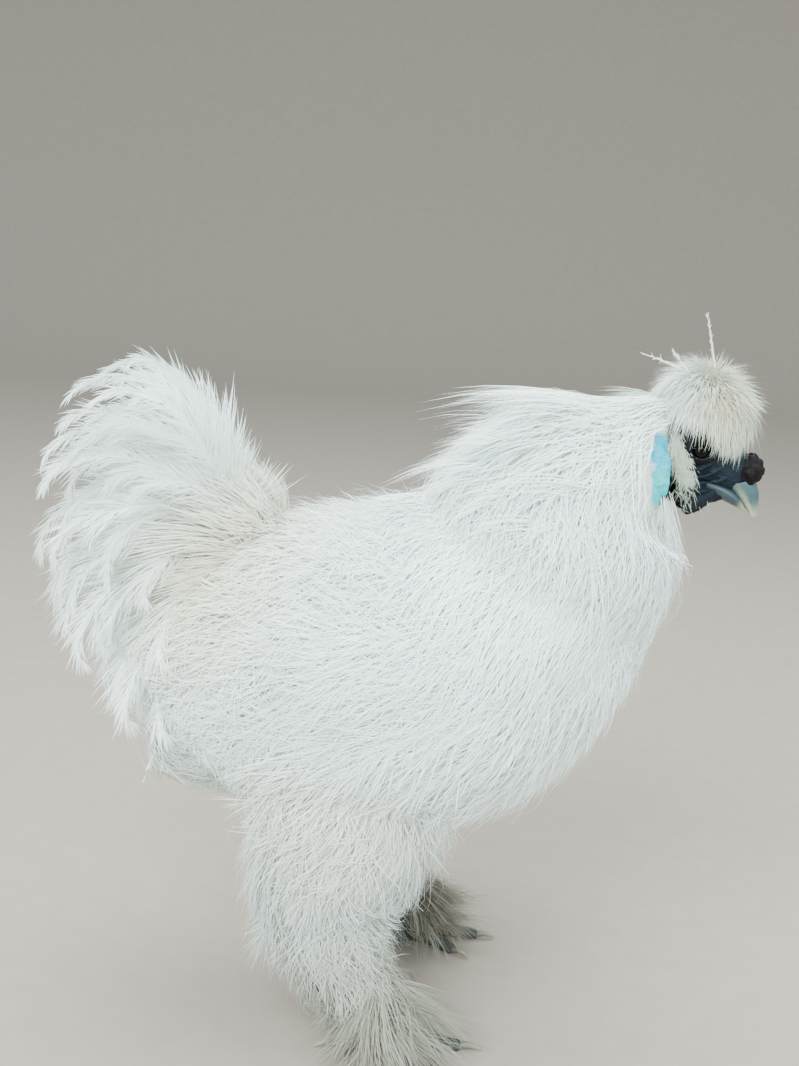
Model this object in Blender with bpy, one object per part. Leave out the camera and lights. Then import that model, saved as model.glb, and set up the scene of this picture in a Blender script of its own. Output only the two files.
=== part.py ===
"""A white silkie cockerel, life size, standing: skin, horn and plumage as closed solids."""

import math
import random

import bmesh
import bpy
import numpy as np
from mathutils import Vector

MM = 0.001

# Driving sizes, in millimetres. X runs forward, Y to the bird's left, Z up from the floor.
GAP = 0.35
SHARPEST = 3.0
SEED = 17
STANCE_RIGHT = (0.0, -54.0)
STANCE_LEFT = (14.0, 57.0)
EYE_AT = (148.5, -13.2, 316.5)
EYE_RADIUS = 4.7
LID_RADIUS = 5.3
LID_OUT = 14.8
FOLD_LENGTH = 17.0
FOLD_DROP = 8.0
FOLD_OUT = 12.3
COMB_AT = (178.5, 0.0, 306.0)
COMB_RADII = (6.5, 9.5, 8.0)
COMB_BULBS = 15

# Outlines of the coat: x and z of each section's centre, then its half width and half height.
TORSO_COAT = (
    (-120, 160, 12, 14),
    (-110, 160, 44, 49),
    (-90, 173, 70, 69),
    (-55, 183, 88, 84),
    (-10, 190, 100, 87),
    (35, 198, 102, 83),
    (70, 210, 90, 66),
    (100, 223, 66, 46),
    (120, 232, 36, 28),
    (132, 238, 10, 10),
)
NECK_COAT = (
    (56, 230, 80, 62),
    (76, 257, 80, 73),
    (86.7, 275.8, 74, 70.5),
    (96.6, 294.8, 58, 63),
    (113, 309, 37, 47),
    (125, 320, 22, 30),
    (134, 326, 12, 18),
)
HEAD_SHAPE = (
    (128, 318, 7, 8),
    (134, 318, 12.5, 14.5),
    (145, 317, 15, 18),
    (156, 313, 14.5, 17.5),
    (165, 307, 11.5, 13.5),
    (172, 301, 7, 8.5),
    (175, 299, 3, 4),
)
# Outlines of the leg: x and y from the foot's place, z, then half the width and half the length.
THIGH_COAT = (
    (-10, 8, 178, 26, 40),
    (-14, 4, 160, 36, 52),
    (-17, 1, 135, 38, 55),
    (-21, 0, 110, 34, 50),
    (-28, 0, 88, 28, 42),
    (-29, 0, 70, 22, 35),
)
SHANK_COAT = (
    (-28, 0, 76, 24, 36),
    (-24, 0, 60, 23, 35),
    (-16, 0, 42, 21, 30),
    (-5, 0, 26, 18, 25),
    (2, 0, 16, 15, 21),
)
# How much of the outline each solid core fills, and how much deeper than its surface a lock roots.
TORSO_CORE = 0.78
NECK_CORE = 0.66
THIGH_CORE = 0.66
SHANK_CORE = 0.4
CREST_CORE = 0.55
SUNK = 0.12

# Rows of locks: where they root along the body, how many go round, and their length or run.
TORSO_ROWS = (
    (108, 10, 46),
    (92, 11, 54),
    (70, 12, 60),
    (44, 12, 64),
    (12, 12, 66),
    (-20, 13, 66),
    (-51, 12, 62),
    (-80, 11, 54),
)
NECK_ROWS = (
    (0.96, 7, 0.36),
    (0.80, 9, 0.42),
    (0.63, 11, 0.46),
    (0.46, 12, 0.46),
)
# The widest and thickest that a lock gets on the trunk, the neck, the legs, the crest and the feet.
TORSO_LOCK = (38.0, 3.4)
NECK_LOCK = (32.0, 3.0)
LEG_LOCK_THICK = 3.0
CREST_LOCK_THICK = 2.6
WISP = (2.6, 1.4)
FOOT_FEATHER = (15.0, 2.4)
FOOT_FEATHERS = 5
# The share of the way round that the locks of one row fill at their widest.
FILL = 0.84

# The tail's plumes: the angle above straight ahead, and how far from the root their tips reach.
TAIL_ROOT = (-85.0, 0.0, 255.0)
TAIL_CORE = (24.0, 22.0, 30.0)
TAIL_REACH = (
    (63, 49), (90, 48), (101, 69), (113, 94), (123, 113), (136, 116), (154, 107),
    (173, 105), (190, 108), (209, 111), (227, 117), (244, 123), (252, 124),
)
# Each layer of the tail: how far it leans aside in degrees, plumes, first and last angle, share of reach.
TAIL_LAYERS = (
    (0, 11, 66, 250, 1.0),
    (14, 8, 76, 246, 0.97),
    (-14, 8, 71, 240, 0.97),
    (32, 4, 84, 232, 0.68),
    (-32, 4, 98, 240, 0.68),
)
PLUME_WIDTH = 22.0
PLUME_THICK = 2.6
PLUME_SWAY = 2.6
# The crest's outline from the top down: x, y, z, half width and half length. Then its bands of locks.
CREST_COAT = (
    (152.5, 0, 361, 11, 11),
    (153.5, 0, 353, 21, 20),
    (155.5, 0, 341, 26, 26),
    (156.5, 0, 330, 27, 26),
    (157.5, 0, 320, 23, 24),
)
CREST_BANDS = ((0.06, 4, 0.5, 13), (0.34, 7, 0.5, 14), (0.64, 8, 0.40, 15))
# Long wisps at the back of the crest: where each starts and ends, x and z.
CREST_WISPS = (((147, 346), (117, 362)), ((153, 350), (147, 382)), ((149, 350), (130, 371)))
# The folded wing's body, then its tiers of vanes: where the first roots, degrees down the flank,
# how many there are, their length, and how far they stand off the trunk.
WING_CORE_AT = (8.0, 86.5, 186.0)
WING_CORE = (62.0, 13.0, 42.0)
WING_TIERS = ((46, 74, 4, 54, 1.11), (50, 86, 4, 64, 1.085), (44, 100, 4, 66, 1.06))
VANE_STEP = 23.0
VANE_WIDTH = 27.0
VANE_THICK = 2.8
# Bands of locks down the leg: where they root, how many go round, how far they run, and their width.
THIGH_BANDS = ((0.40, 8, 0.42, 28), (0.62, 7, 0.42, 27))
SHANK_BANDS = ((0.1, 6, 0.5, 21), (0.50, 5, 0.34, 18))

# Each toe: its heading in degrees, out to the side, its length, and its thickness at root and tip.
TOES = (
    ("2", -32, 30, 4.6, 3.2),
    ("3", 2, 40, 4.8, 3.2),
    ("4", 36, 33, 4.4, 3.0),
    ("1", 168, 19, 4.0, 2.8),
)
PAD = (11.0, 10.0, 8.0)
# How far ahead and up from the toe's end each claw runs, and how thick it is there.
CLAW_CURVE = ((0.6, 0.0), (4.5, 0.9), (8.5, -0.1), (11.5, -1.6))
CLAW_RADII = (1.9, 1.7, 1.2, 0.5)
ANKLE = ((5, 6, 5.5, 6), (1, 14, 5.2, 5.6), (-2, 20, 5, 5.2))
FIFTH_TOE = ((0, 12.0), (9, 12.5), (16, 17.0), (19, 24.0))
FIFTH_CLAW = ((0, 1.0), (1, 5.0), (0.2, 9.0), (-1.5, 12.0))

WHITE = (0.90, 0.92, 0.90, 1)
CREAM = (0.86, 0.82, 0.72, 1)
SLATE = (0.06, 0.075, 0.095, 1)
MULBERRY = (0.075, 0.035, 0.05, 1)
TURQUOISE = (0.25, 0.68, 0.78, 1)
HORN = (0.16, 0.27, 0.30, 1)
FOOT = (0.09, 0.09, 0.095, 1)
CLAW = (0.42, 0.38, 0.32, 1)
BLACK = (0.01, 0.01, 0.012, 1)


def clear_scene():
    for obj in list(bpy.data.objects):
        bpy.data.objects.remove(obj)


def finish(name, rgba, roughness):
    material = bpy.data.materials.new(name)
    material.use_nodes = True
    shader = material.node_tree.nodes["Principled BSDF"]
    shader.inputs["Base Color"].default_value = rgba
    shader.inputs["Roughness"].default_value = roughness
    shader.inputs["Metallic"].default_value = 0.0
    return material


def unit(v):
    v = np.asarray(v, float)
    return v / max(np.linalg.norm(v), 1e-12)


def around(angle):
    """Degrees above straight ahead, as a direction in the bird's middle plane."""
    a = math.radians(angle)
    return np.array((math.cos(a), 0, math.sin(a)))


def through(rows, t):
    """The row at t, from 0 to 1, on a smooth curve through the rows."""
    rows = np.asarray(rows, float)
    last = len(rows) - 1
    x = min(max(t, 0.0), 1.0) * last
    i = min(int(x), last - 1)
    f = x - i
    a, b = rows[max(i - 1, 0)], rows[i]
    c, d = rows[i + 1], rows[min(i + 2, last)]
    cubic = (3 * b - a - 3 * c + d) * f**3
    return 0.5 * (2 * b + (c - a) * f + (2 * a - 5 * b + 4 * c - d) * f**2 + cubic)


class Sweep:
    """A rounded body along a smooth spine. Rows are x, y, z, half width, half height."""

    def __init__(self, rows, side=(0, 1, 0)):
        self.rows = np.asarray(rows, float)
        self.side = unit(side)

    def frame(self, t):
        row = through(self.rows, t)
        ahead = through(self.rows, min(t + 0.01, 1))[:3] - through(self.rows, max(t - 0.01, 0))[:3]
        along = unit(ahead)
        across = unit(self.side - along * (self.side @ along))
        up = np.cross(along, across)
        return row, along, across, up

    def point(self, t, angle, share=1.0):
        """Angle 0 is the upper side and a quarter turn is the +Y side. Share 1 is on the outline."""
        row, along, across, up = self.frame(t)
        past = t - min(max(t, 0.0), 1.0)
        length = np.linalg.norm(self.rows[-1][:3] - self.rows[0][:3])
        rim = across * row[3] * math.sin(angle) + up * row[4] * math.cos(angle)
        return row[:3] + rim * share + along * past * length

    def at(self, value, axis=0):
        """The t at which the spine passes that x, y or z."""
        places = self.rows[:, axis]
        steps = np.linspace(0, 1, len(places))
        order = np.argsort(places)
        return float(np.interp(value, places[order], steps[order]))

    def mesh(self, rings, sides, share=1.0, start=0.0, end=1.0):
        verts, faces = [], []
        first = self.frame(start)
        last = self.frame(end)
        verts.append(first[0][:3] - first[1] * first[0][3:].min() * 0.35 * share)
        for k in range(rings):
            t = start + (end - start) * k / (rings - 1)
            for s in range(sides):
                verts.append(self.point(t, 2 * math.pi * s / sides, share))
        verts.append(last[0][:3] + last[1] * last[0][3:].min() * 0.35 * share)
        tail = len(verts) - 1
        for s in range(sides):
            n = (s + 1) % sides
            faces.append((0, 1 + n, 1 + s))
            faces.append((tail, tail - sides + s, tail - sides + n))
            for k in range(rings - 1):
                a, b = 1 + k * sides, 1 + (k + 1) * sides
                faces.append((a + s, a + n, b + n, b + s))
        return facing_out(verts, faces)

    def lay(self, t, angle, run, turn, low, high, steps=3):
        """A path along the body from t by run, turning round it, and rising from share low to high."""
        points, normals = [], []
        for s in np.linspace(0, 1, steps + 1):
            share = low + (high - low) * (1 - (1 - s) ** 2.2)
            here = (t + run * s, angle + turn * s)
            p = self.point(*here, share)
            points.append(p)
            normals.append(unit(self.point(*here, share + 0.1) - p))
        return points, normals


def facing_out(verts, faces):
    """Turns the faces round if the body is inside out."""
    verts = np.asarray(verts, float)
    volume = 0.0
    for face in faces:
        a = verts[face[0]]
        for i in range(1, len(face) - 1):
            volume += a @ np.cross(verts[face[i]], verts[face[i + 1]])
    return (verts, faces) if volume > 0 else (verts, [tuple(reversed(f)) for f in faces])


def ball(centre, radii, across=16, rings=9, turn=0.0):
    """An oval body; turn tips it about Y, nose down, in degrees."""
    c, s = math.cos(math.radians(turn)), math.sin(math.radians(turn))
    verts = []
    for k in range(1, rings):
        tilt = math.pi * k / rings
        for i in range(across):
            a = 2 * math.pi * i / across
            p = (math.sin(tilt) * math.cos(a), math.sin(tilt) * math.sin(a), math.cos(tilt))
            verts.append(np.array(p) * radii)
    verts = [np.array((0, 0, radii[2]), float)] + verts + [np.array((0, 0, -radii[2]), float)]
    spun = [np.array((v[0] * c + v[2] * s, v[1], -v[0] * s + v[2] * c)) + centre for v in verts]
    faces, last = [], len(verts) - 1
    for i in range(across):
        n = (i + 1) % across
        faces.append((0, 1 + i, 1 + n))
        faces.append((last, last - across + n, last - across + i))
        for k in range(rings - 2):
            a, b = 1 + k * across, 1 + (k + 1) * across
            faces.append((a + i, b + i, b + n, a + n))
    return facing_out(spun, faces)


def lock(points, normals, width, thick, root=0.4, widest=0.35):
    """A flat, tapered lock or vane of diamond section, its triangles alike on both faces."""
    points = np.asarray(points, float)
    last = len(points) - 1
    verts, faces = [], []
    for k in range(last):
        s = k / last
        ahead = unit(points[k + 1] - points[max(k - 1, 0)])
        across = unit(np.cross(ahead, normals[k]))
        up = np.cross(across, ahead)
        swell = root + (1 - root) * min(s / widest, 1)
        w = 0.5 * width * swell * min(1, (1 - s) / (1 - widest))
        h = 0.5 * thick * (1 - 0.6 * s)
        verts += [points[k] + across * w, points[k] + up * h, points[k] - across * w, points[k] - up * h]
    verts.append(points[last])
    for k in range(last - 1):
        for i in range(4):
            j = (i + 1) % 4
            a, b, c, d = 4 * k + i, 4 * k + j, 4 * k + 4 + j, 4 * k + 4 + i
            faces += [(a, b, c), (a, c, d)] if i % 2 == 0 else [(a, b, d), (b, c, d)]
    tip = len(verts) - 1
    for i in range(4):
        faces.append((tip - 4 + i, tip - 4 + (i + 1) % 4, tip))
    faces += [(0, 2, 1), (0, 3, 2)]
    return facing_out(verts, faces)


def ring(centre, radius, thick, normal, sides=8):
    """A thin round fold standing about an eye."""
    normal = unit(normal)
    u = unit(np.cross(normal, (0, 0, 1)))
    v = np.cross(normal, u)
    verts, faces = [], []
    for i in range(sides):
        a = 2 * math.pi * i / sides
        out = u * math.cos(a) + v * math.sin(a)
        for b in (0, 0.5 * math.pi, math.pi, 1.5 * math.pi):
            aside = out * (radius + thick * math.cos(b))
            verts.append(np.array(centre) + aside + normal * thick * math.sin(b))
    for i in range(sides):
        n = (i + 1) % sides
        for j in range(4):
            m = (j + 1) % 4
            faces.append((4 * i + j, 4 * i + m, 4 * n + m, 4 * n + j))
    return facing_out(verts, faces)


def mirrored(piece):
    verts, faces = piece
    flipped = verts * np.array((1, -1, 1))
    return flipped, [tuple(reversed(f)) for f in faces]


def on_floor(piece, height=0.0):
    """Flattens what would sink under that height."""
    verts, faces = piece
    verts = verts.copy()
    verts[:, 2] = np.maximum(verts[:, 2], height)
    return verts, faces


def outward(corner, grow):
    """How far a corner moves for each of its faces to move out by grow, or as near as SHARPEST allows."""
    normals = np.array([face.normal for face in corner.link_faces])
    shift = np.linalg.lstsq(normals, np.full(len(normals), grow), rcond=0.01)[0]
    return shift * min(1.0, SHARPEST * grow / np.linalg.norm(shift))


def mesh_of(name, piece, grow=0.0):
    """The piece as triangles, split before it is grown, so that a grown copy has the same ones."""
    verts, faces = piece
    mesh = bpy.data.meshes.new(name)
    mesh.from_pydata([Vector(v) * MM for v in verts], [], faces)
    bm = bmesh.new()
    bm.from_mesh(mesh)
    bmesh.ops.triangulate(bm, faces=bm.faces)
    bm.normal_update()
    if grow:
        for v, shift in [(v, outward(v, grow * MM)) for v in bm.verts]:
            v.co += Vector(shift)
    bm.to_mesh(mesh)
    bm.free()
    return mesh


def largest_body(mesh):
    """Leaves only the closed surface that holds most."""
    bm = bmesh.new()
    bm.from_mesh(mesh)
    bmesh.ops.triangulate(bm, faces=bm.faces)
    left, best, best_size = set(bm.faces), [], -1.0
    while left:
        seed = left.pop()
        island, edge = {seed}, [seed]
        while edge:
            for loop_edge in edge.pop().edges:
                for face in loop_edge.link_faces:
                    if face not in island:
                        island.add(face)
                        edge.append(face)
        left -= island
        size = sum(f.verts[0].co.dot(f.verts[1].co.cross(f.verts[2].co)) for f in island)
        if size > best_size:
            best, best_size = island, size
    bmesh.ops.delete(bm, geom=[f for f in bm.faces if f not in best], context="FACES")
    bm.to_mesh(mesh)
    bm.free()


def boolean(obj, pieces, operation, grow=0.0):
    """Joins or cuts with every piece at once, and applies it."""
    tools = bpy.data.collections.new("tools")
    bpy.context.scene.collection.children.link(tools)
    for i, piece in enumerate(pieces):
        tool = bpy.data.objects.new(f"tool{i}", mesh_of(f"tool{i}", piece, grow))
        tools.objects.link(tool)
    modifier = obj.modifiers.new("fuse", "BOOLEAN")
    modifier.operation = operation
    modifier.operand_type = "COLLECTION"
    modifier.collection = tools
    modifier.solver = "MANIFOLD"
    graph = bpy.context.evaluated_depsgraph_get()
    mesh = bpy.data.meshes.new_from_object(obj.evaluated_get(graph))
    obj.modifiers.clear()
    obj.data = mesh
    for tool in list(tools.objects):
        bpy.data.objects.remove(tool)
    bpy.data.collections.remove(tools)


def node(name, pieces, material, clear_of=(), cuts=()):
    """One named body: its pieces fused, cuts taken out of it, and kept a gap away from its neighbours."""
    obj = bpy.data.objects.new(name, mesh_of(name, pieces[0]))
    bpy.context.scene.collection.objects.link(obj)
    if len(pieces) > 1:
        boolean(obj, pieces[1:], "UNION")
    if cuts:
        boolean(obj, cuts, "DIFFERENCE")
    if clear_of:
        boolean(obj, [p for other in clear_of for p in other], "DIFFERENCE", GAP)
    largest_body(obj.data)
    obj.data.materials.clear()
    obj.data.materials.append(material)
    obj.data.shade_smooth()
    obj.data.set_sharp_from_angle(angle=math.radians(40))
    return obj


def in_plane(rows):
    return [(x, 0, z, w, h) for x, z, w, h in rows]


def leg_rows(rows, stance, outward):
    x0, y0 = stance
    return [(x0 + x, y0 - outward * y, z, w, h) for x, y, z, w, h in rows]


TORSO = Sweep(in_plane(TORSO_COAT))
NECK = Sweep(in_plane(NECK_COAT))


def over_torso(p, share):
    """Lifts a point that lies inside that share of the trunk's outline out to it."""
    if p[0] > TORSO.rows[-1][0]:
        return p
    row = through(TORSO.rows, TORSO.at(p[0]))
    away = np.array((0, p[1], p[2] - row[2]))
    depth = math.hypot(away[1] / row[3], away[2] / row[4])
    return p if depth > share else p + away * (share / depth - 1)


def bare_of_torso_locks(x, angle):
    """Where the neck, wings, thighs and tail cover the trunk. Angle is in degrees from the top."""
    if angle < np.interp(x, (14, 44, 72, 97, 117), (0, 58, 80, 100, 128)):
        return True
    if -34 < x < 92 and 52 < angle < 126:
        return True
    if -56 < x < 50 and 122 < angle < 160:
        return True
    return x < -40 and angle < np.interp(x, (-80, -45), (74, 30))


def torso_pieces(draw):
    pieces = [TORSO.mesh(9, 12, TORSO_CORE, 0.03, 0.91)]
    for row, (x, count, length) in enumerate(TORSO_ROWS):
        t = TORSO.at(x)
        for i in range(count):
            angle = 2 * math.pi * (i + 0.5 * (row % 2)) / count + draw.uniform(-0.05, 0.05)
            angle = (angle + math.pi) % (2 * math.pi) - math.pi
            if bare_of_torso_locks(x, abs(math.degrees(angle))):
                continue
            reach = length * draw.uniform(0.9, 1.12)
            run = TORSO.at(x - reach) - t
            droop = 0.16 * math.sin(angle)
            points, normals = TORSO.lay(t, angle, run, droop, TORSO_CORE - SUNK, draw.uniform(0.98, 1.03))
            section = through(TORSO.rows, t)
            width = math.pi * (section[3] + section[4]) / count * FILL
            pieces.append(lock(points, normals, min(width, TORSO_LOCK[0]), TORSO_LOCK[1], 0.35))
    return pieces


def under_earlobe(angle):
    """Degrees round the neck from the top, either way."""
    return 80 < min(angle % 360, -angle % 360) < 132


def neck_pieces(draw):
    pieces = [NECK.mesh(6, 10, NECK_CORE)]
    for row, (t, count, run) in enumerate(NECK_ROWS):
        for i in range(count):
            angle = 2 * math.pi * (i + 0.5 * (row % 2)) / count + draw.uniform(-0.06, 0.06)
            if row == 0 and under_earlobe(math.degrees(angle)):
                continue
            behind = 0.5 + 0.5 * math.cos(angle)
            end = t - run * draw.uniform(0.95, 1.15)
            high = draw.uniform(1.0, 1.06)
            if row == len(NECK_ROWS) - 1:
                high -= 0.16 * behind
            points, normals = NECK.lay(t, angle, max(end, -0.06) - t, 0, NECK_CORE - SUNK, high)
            points = [points[0]] + [over_torso(p, 1.05) for p in points[1:]]
            section = through(NECK.rows, t - 0.3 * run)
            width = math.pi * (section[3] + section[4]) / count * FILL
            pieces.append(lock(points, normals, min(width, NECK_LOCK[0]), NECK_LOCK[1], 0.35))
    return pieces


def plume(angle, reach, lean, curl, draw, steps=4):
    """A tail feather that leaves the root more upright than its tip lies, and leans aside."""
    aside = math.radians(lean)
    legs = (
        around(angle - curl) * 12,
        around(angle - curl) * reach * 0.62,
        around(angle - curl * 0.25) * reach * 0.97,
        around(angle) * reach,
    )
    points, normals = [], []
    for s in np.linspace(0, 1, steps + 1):
        flat = sum(math.comb(3, k) * s**k * (1 - s) ** (3 - k) * leg for k, leg in enumerate(legs))
        height = np.linalg.norm(flat) * math.sin(aside)
        points.append(np.array(TAIL_ROOT) + flat * math.cos(aside) + (0, height, 0))
        normals.append(unit((draw.uniform(-0.2, 0.2), 1, draw.uniform(-0.2, 0.2))))
    return lock(points, normals, PLUME_WIDTH, PLUME_THICK, 0.18, 0.62)


def tail_pieces(draw):
    """The core at the root, and the plumes fanned over it in layers, each curling back and down."""
    pieces = [ball(TAIL_ROOT, TAIL_CORE, 8, 6, 20)]
    angles = [a for a, _ in TAIL_REACH]
    reaches = [r for _, r in TAIL_REACH]
    for lean, count, first, last, share in TAIL_LAYERS:
        for i in range(count):
            angle = first + (last - first) * i / (count - 1) + draw.uniform(-2.5, 2.5)
            reach = float(np.interp(angle, angles, reaches)) * share * draw.uniform(0.96, 1.03)
            curl = np.interp(angle, (60, 90, 112, 150, 250), (6, 10, 18, 36, 8))
            sway = PLUME_SWAY if i % 2 else -PLUME_SWAY
            pieces.append(plume(angle, reach, lean + sway, curl, draw))
    return pieces


def crest_pieces(draw):
    """A puff of locks that part at the crown and droop all round, with a few long wisps behind."""
    body = Sweep(CREST_COAT)
    pieces = [body.mesh(5, 8, CREST_CORE)]
    for band, (t, count, run, width) in enumerate(CREST_BANDS):
        for i in range(count):
            angle = 2 * math.pi * (i + 0.5 * (band % 2)) / count + draw.uniform(-0.08, 0.08)
            length = run * draw.uniform(0.9, 1.1)
            points, normals = body.lay(t, angle, length, 0, CREST_CORE - 0.25, draw.uniform(1.0, 1.08))
            pieces.append(lock(points, normals, width, CREST_LOCK_THICK, 0.4))
    for (x0, z0), (x1, z1) in CREST_WISPS:
        start, end = np.array((x0, 0, z0), float), np.array((x1, draw.uniform(-4, 4), z1))
        away, bow = end - start, np.array((0, 0, 5))
        points = [start - away * 0.3, start + away * 0.35 + bow, start + away * 0.75 + bow, end]
        pieces.append(lock(points, [(0, 1, 0)] * 4, *WISP))
    return pieces


def comb_piece():
    """A walnut comb: one surface swollen into bulbs."""
    centre, radii = np.array(COMB_AT), np.array(COMB_RADII)
    verts, faces = ball((0, 0, 0), (1, 1, 1), 14, 8)
    golden = math.pi * (3 - math.sqrt(5))
    bulbs = []
    for i, z in enumerate(np.linspace(0.9, -0.9, COMB_BULBS)):
        level = math.sqrt(1 - z * z)
        bulbs.append(unit((math.cos(i * golden) * level, math.sin(i * golden) * level, z)))
    shaped = []
    for v in verts:
        near = max(float(v @ b) for b in bulbs)
        shaped.append(centre + v * radii * (0.86 + 0.26 * max(near, 0) ** 9))
    return np.array(shaped), faces


def beak_upper_piece():
    rows = (
        (166, 0, 303, 6.6, 5.4),
        (172, 0, 300.5, 6.2, 5.6),
        (177.5, 0, 295, 4.6, 4.4),
        (180.8, 0, 288.5, 2.8, 2.9),
        (181.6, 0, 283, 1.1, 1.2),
    )
    return Sweep(rows).mesh(7, 8)


def beak_lower_piece():
    rows = (
        (158, 0, 294.5, 6.4, 3.2),
        (165, 0, 292.8, 5.6, 3.0),
        (171, 0, 288.6, 3.8, 2.3),
        (175, 0, 284.6, 1.6, 1.1),
    )
    return Sweep(rows).mesh(5, 8)


def nostrils():
    return [ball((173.4, side * 6.0, 300.6), (1.3, 1.3, 0.7), 6, 4, 25) for side in (-1, 1)]


def mouth_line():
    """The slit from the bill's edges back to the gape."""
    return ball((163.5, 0, 297.6), (9, 16, 0.45), 8, 4, 17)


def face_pieces():
    """The head with its raised lids, brow and the folds of the cheek."""
    pieces = [Sweep(in_plane(HEAD_SHAPE)).mesh(8, 12)]
    x, _, z = EYE_AT
    for side in (-1, 1):
        lid = (x, side * LID_OUT, z)
        pieces.append(ring(lid, LID_RADIUS, 1.1, (0.12, side, 0.1)))
        fold = []
        for s in (0, 0.5, 1):
            sag = FOLD_DROP + 2 * math.sin(math.pi * s)
            fold.append((x + FOLD_LENGTH * (s - 0.5), side * FOLD_OUT, z - sag))
        pieces.append(taper(fold, (1.0, 1.5, 0.9), 4, 4))
    return pieces


def earlobe_piece():
    rows = (
        (127.5, -15.5, 321, 0.8, 1.2),
        (126.9, -19.5, 314, 2.6, 4.2),
        (127.1, -21, 307, 3.2, 4.8),
        (129.1, -20, 299.5, 2.6, 3.3),
        (131.5, -18, 293, 1.8, 2.1),
        (132.3, -16.5, 289.5, 0.9, 0.9),
    )
    return Sweep(rows).mesh(6, 6)


def wattle_piece():
    rows = (
        (160, -5.5, 293.5, 2.2, 2.6),
        (155.5, -6.4, 290.5, 2.8, 4.6),
        (150.5, -7.4, 287, 3.0, 5.2),
        (147.5, -7.8, 284, 2.0, 3.2),
    )
    return Sweep(rows).mesh(5, 8)


def muff_pieces(draw):
    """A small patch of cheek down, its locks lying back and down."""
    rows = (
        (135, -13.5, 319.5, 2.4, 3.0),
        (136.5, -16.0, 314.5, 2.8, 4.0),
        (139, -16.2, 307.5, 2.6, 3.8),
        (142.5, -14.6, 301, 1.2, 2.0),
    )
    body = Sweep(rows)
    pieces = [body.mesh(5, 6)]
    for t in (0.2, 0.5, 0.8):
        root = body.point(t, 0) * 0.35 + through(body.rows, t)[:3] * 0.65
        lie = unit((-0.55, -0.25, -0.8)) * draw.uniform(7, 9)
        points = [root, root + lie * 0.5 + (0, -1.6, 0), root + lie + (0, -1.2, 0)]
        pieces.append(lock(points, [(0, -1, 0)] * 3, 5, 1.6))
    return pieces


def eye_piece():
    return ball(EYE_AT, (EYE_RADIUS, EYE_RADIUS, EYE_RADIUS), 10, 7)


def taper(points, radii, rings=6, sides=6):
    """A round body along the points, no lower than the floor."""
    rows = [(*p, r, r) for p, r in zip(points, radii)]
    return on_floor(Sweep(rows, side=(0.001, 1, 0)).mesh(rings, sides))


def foot_pieces(stance, outward, draw):
    """The pad, three toes forward, one back and a fifth curling up behind. Outward is -1 on the right."""
    x0, y0 = stance
    pad = on_floor(ball((x0 + 4, y0, 6), PAD, 10, 6))
    ankle = Sweep([(x0 + x, y0, z, w, h) for x, z, w, h in ANKLE])
    pieces, claws = [pad, ankle.mesh(2, 6)], []
    for label, heading, length, root, tip in TOES:
        a = math.radians(heading)
        out = np.array((math.cos(a), outward * math.sin(a), 0))
        path, radii = [], []
        for s in np.linspace(0, 1, 6):
            height = root * 0.72 + 1.6 * math.sin(math.pi * s) - (root - tip) * 0.5 * s
            path.append(np.array((x0 + 4, y0, height)) + out * (3 + length * s))
            radii.append(root + (tip - root) * s)
        pieces.append(taper(path, radii, 4))
        claw_path = [path[-1] + out * ahead + (0, 0, rise) for ahead, rise in CLAW_CURVE]
        claws.append((label, taper(claw_path, CLAW_RADII, 3, 5)))
    a = math.radians(150)
    out = np.array((math.cos(a), -outward * math.sin(a), 0))
    path = [np.array((x0 + 2, y0, height)) + out * ahead for ahead, height in FIFTH_TOE]
    pieces.append(taper(path, (4, 3.4, 2.9, 2.5), 4))
    claw_path = [path[-1] + out * ahead + (0, 0, rise) for ahead, rise in FIFTH_CLAW]
    claws.append(("5", taper(claw_path, CLAW_RADII, 3, 5)))
    for i in range(FOOT_FEATHERS):
        a = math.radians(14 + 140 * i / (FOOT_FEATHERS - 1) + draw.uniform(-4, 4))
        out = np.array((math.cos(a), outward * math.sin(a), 0))
        reach = draw.uniform(38, 46) if i < FOOT_FEATHERS - 1 else draw.uniform(30, 36)
        root = np.array((x0 + 3, y0, 10))
        points = [root, root + out * reach * 0.36 + (0, 0, 2), root + out * reach * 0.7 - (0, 0, 1)]
        points.append(root + out * reach - (0, 0, 7))
        pieces.append(on_floor(lock(points, [(0, 0, 1)] * 4, *FOOT_FEATHER, 0.25, 0.6), 0.6))
    return pieces, claws


def leg_coat(rows, core, bands, stance, outward, draw, rings, sides):
    """A leg's core and the bands of locks that hang down round it."""
    body = Sweep(leg_rows(rows, stance, outward))
    pieces = [body.mesh(rings, sides, core)]
    for band, (t, count, run, width) in enumerate(bands):
        for i in range(count):
            angle = 2 * math.pi * (i + 0.5 * (band % 2)) / count + draw.uniform(-0.08, 0.08)
            length = run * draw.uniform(0.9, 1.1)
            points, normals = body.lay(t, angle, length, 0, core - 0.16, draw.uniform(0.98, 1.06), 2)
            pieces.append(lock(points, normals, width, LEG_LOCK_THICK, 0.4))
    return pieces


def wing_pieces(side, draw):
    """The folded wing: a low body on the flank, and tiers of ragged vanes that trail back and down."""
    x0, y0, z0 = WING_CORE_AT
    pieces = [ball((x0, side * y0, z0), WING_CORE, 12, 7, -8)]
    for x, angle, count, length, share in WING_TIERS:
        for i in range(count):
            root = x - i * VANE_STEP + draw.uniform(-2, 2)
            t = TORSO.at(root)
            run = TORSO.at(root - length * draw.uniform(0.9, 1.05)) - t
            droop = side * math.radians(draw.uniform(17, 25))
            points, normals = TORSO.lay(t, side * math.radians(angle + 1.5 * i), run, droop, 0.88, share)
            pieces.append(lock(points, normals, VANE_WIDTH, VANE_THICK, 0.4))
    return pieces


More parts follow.
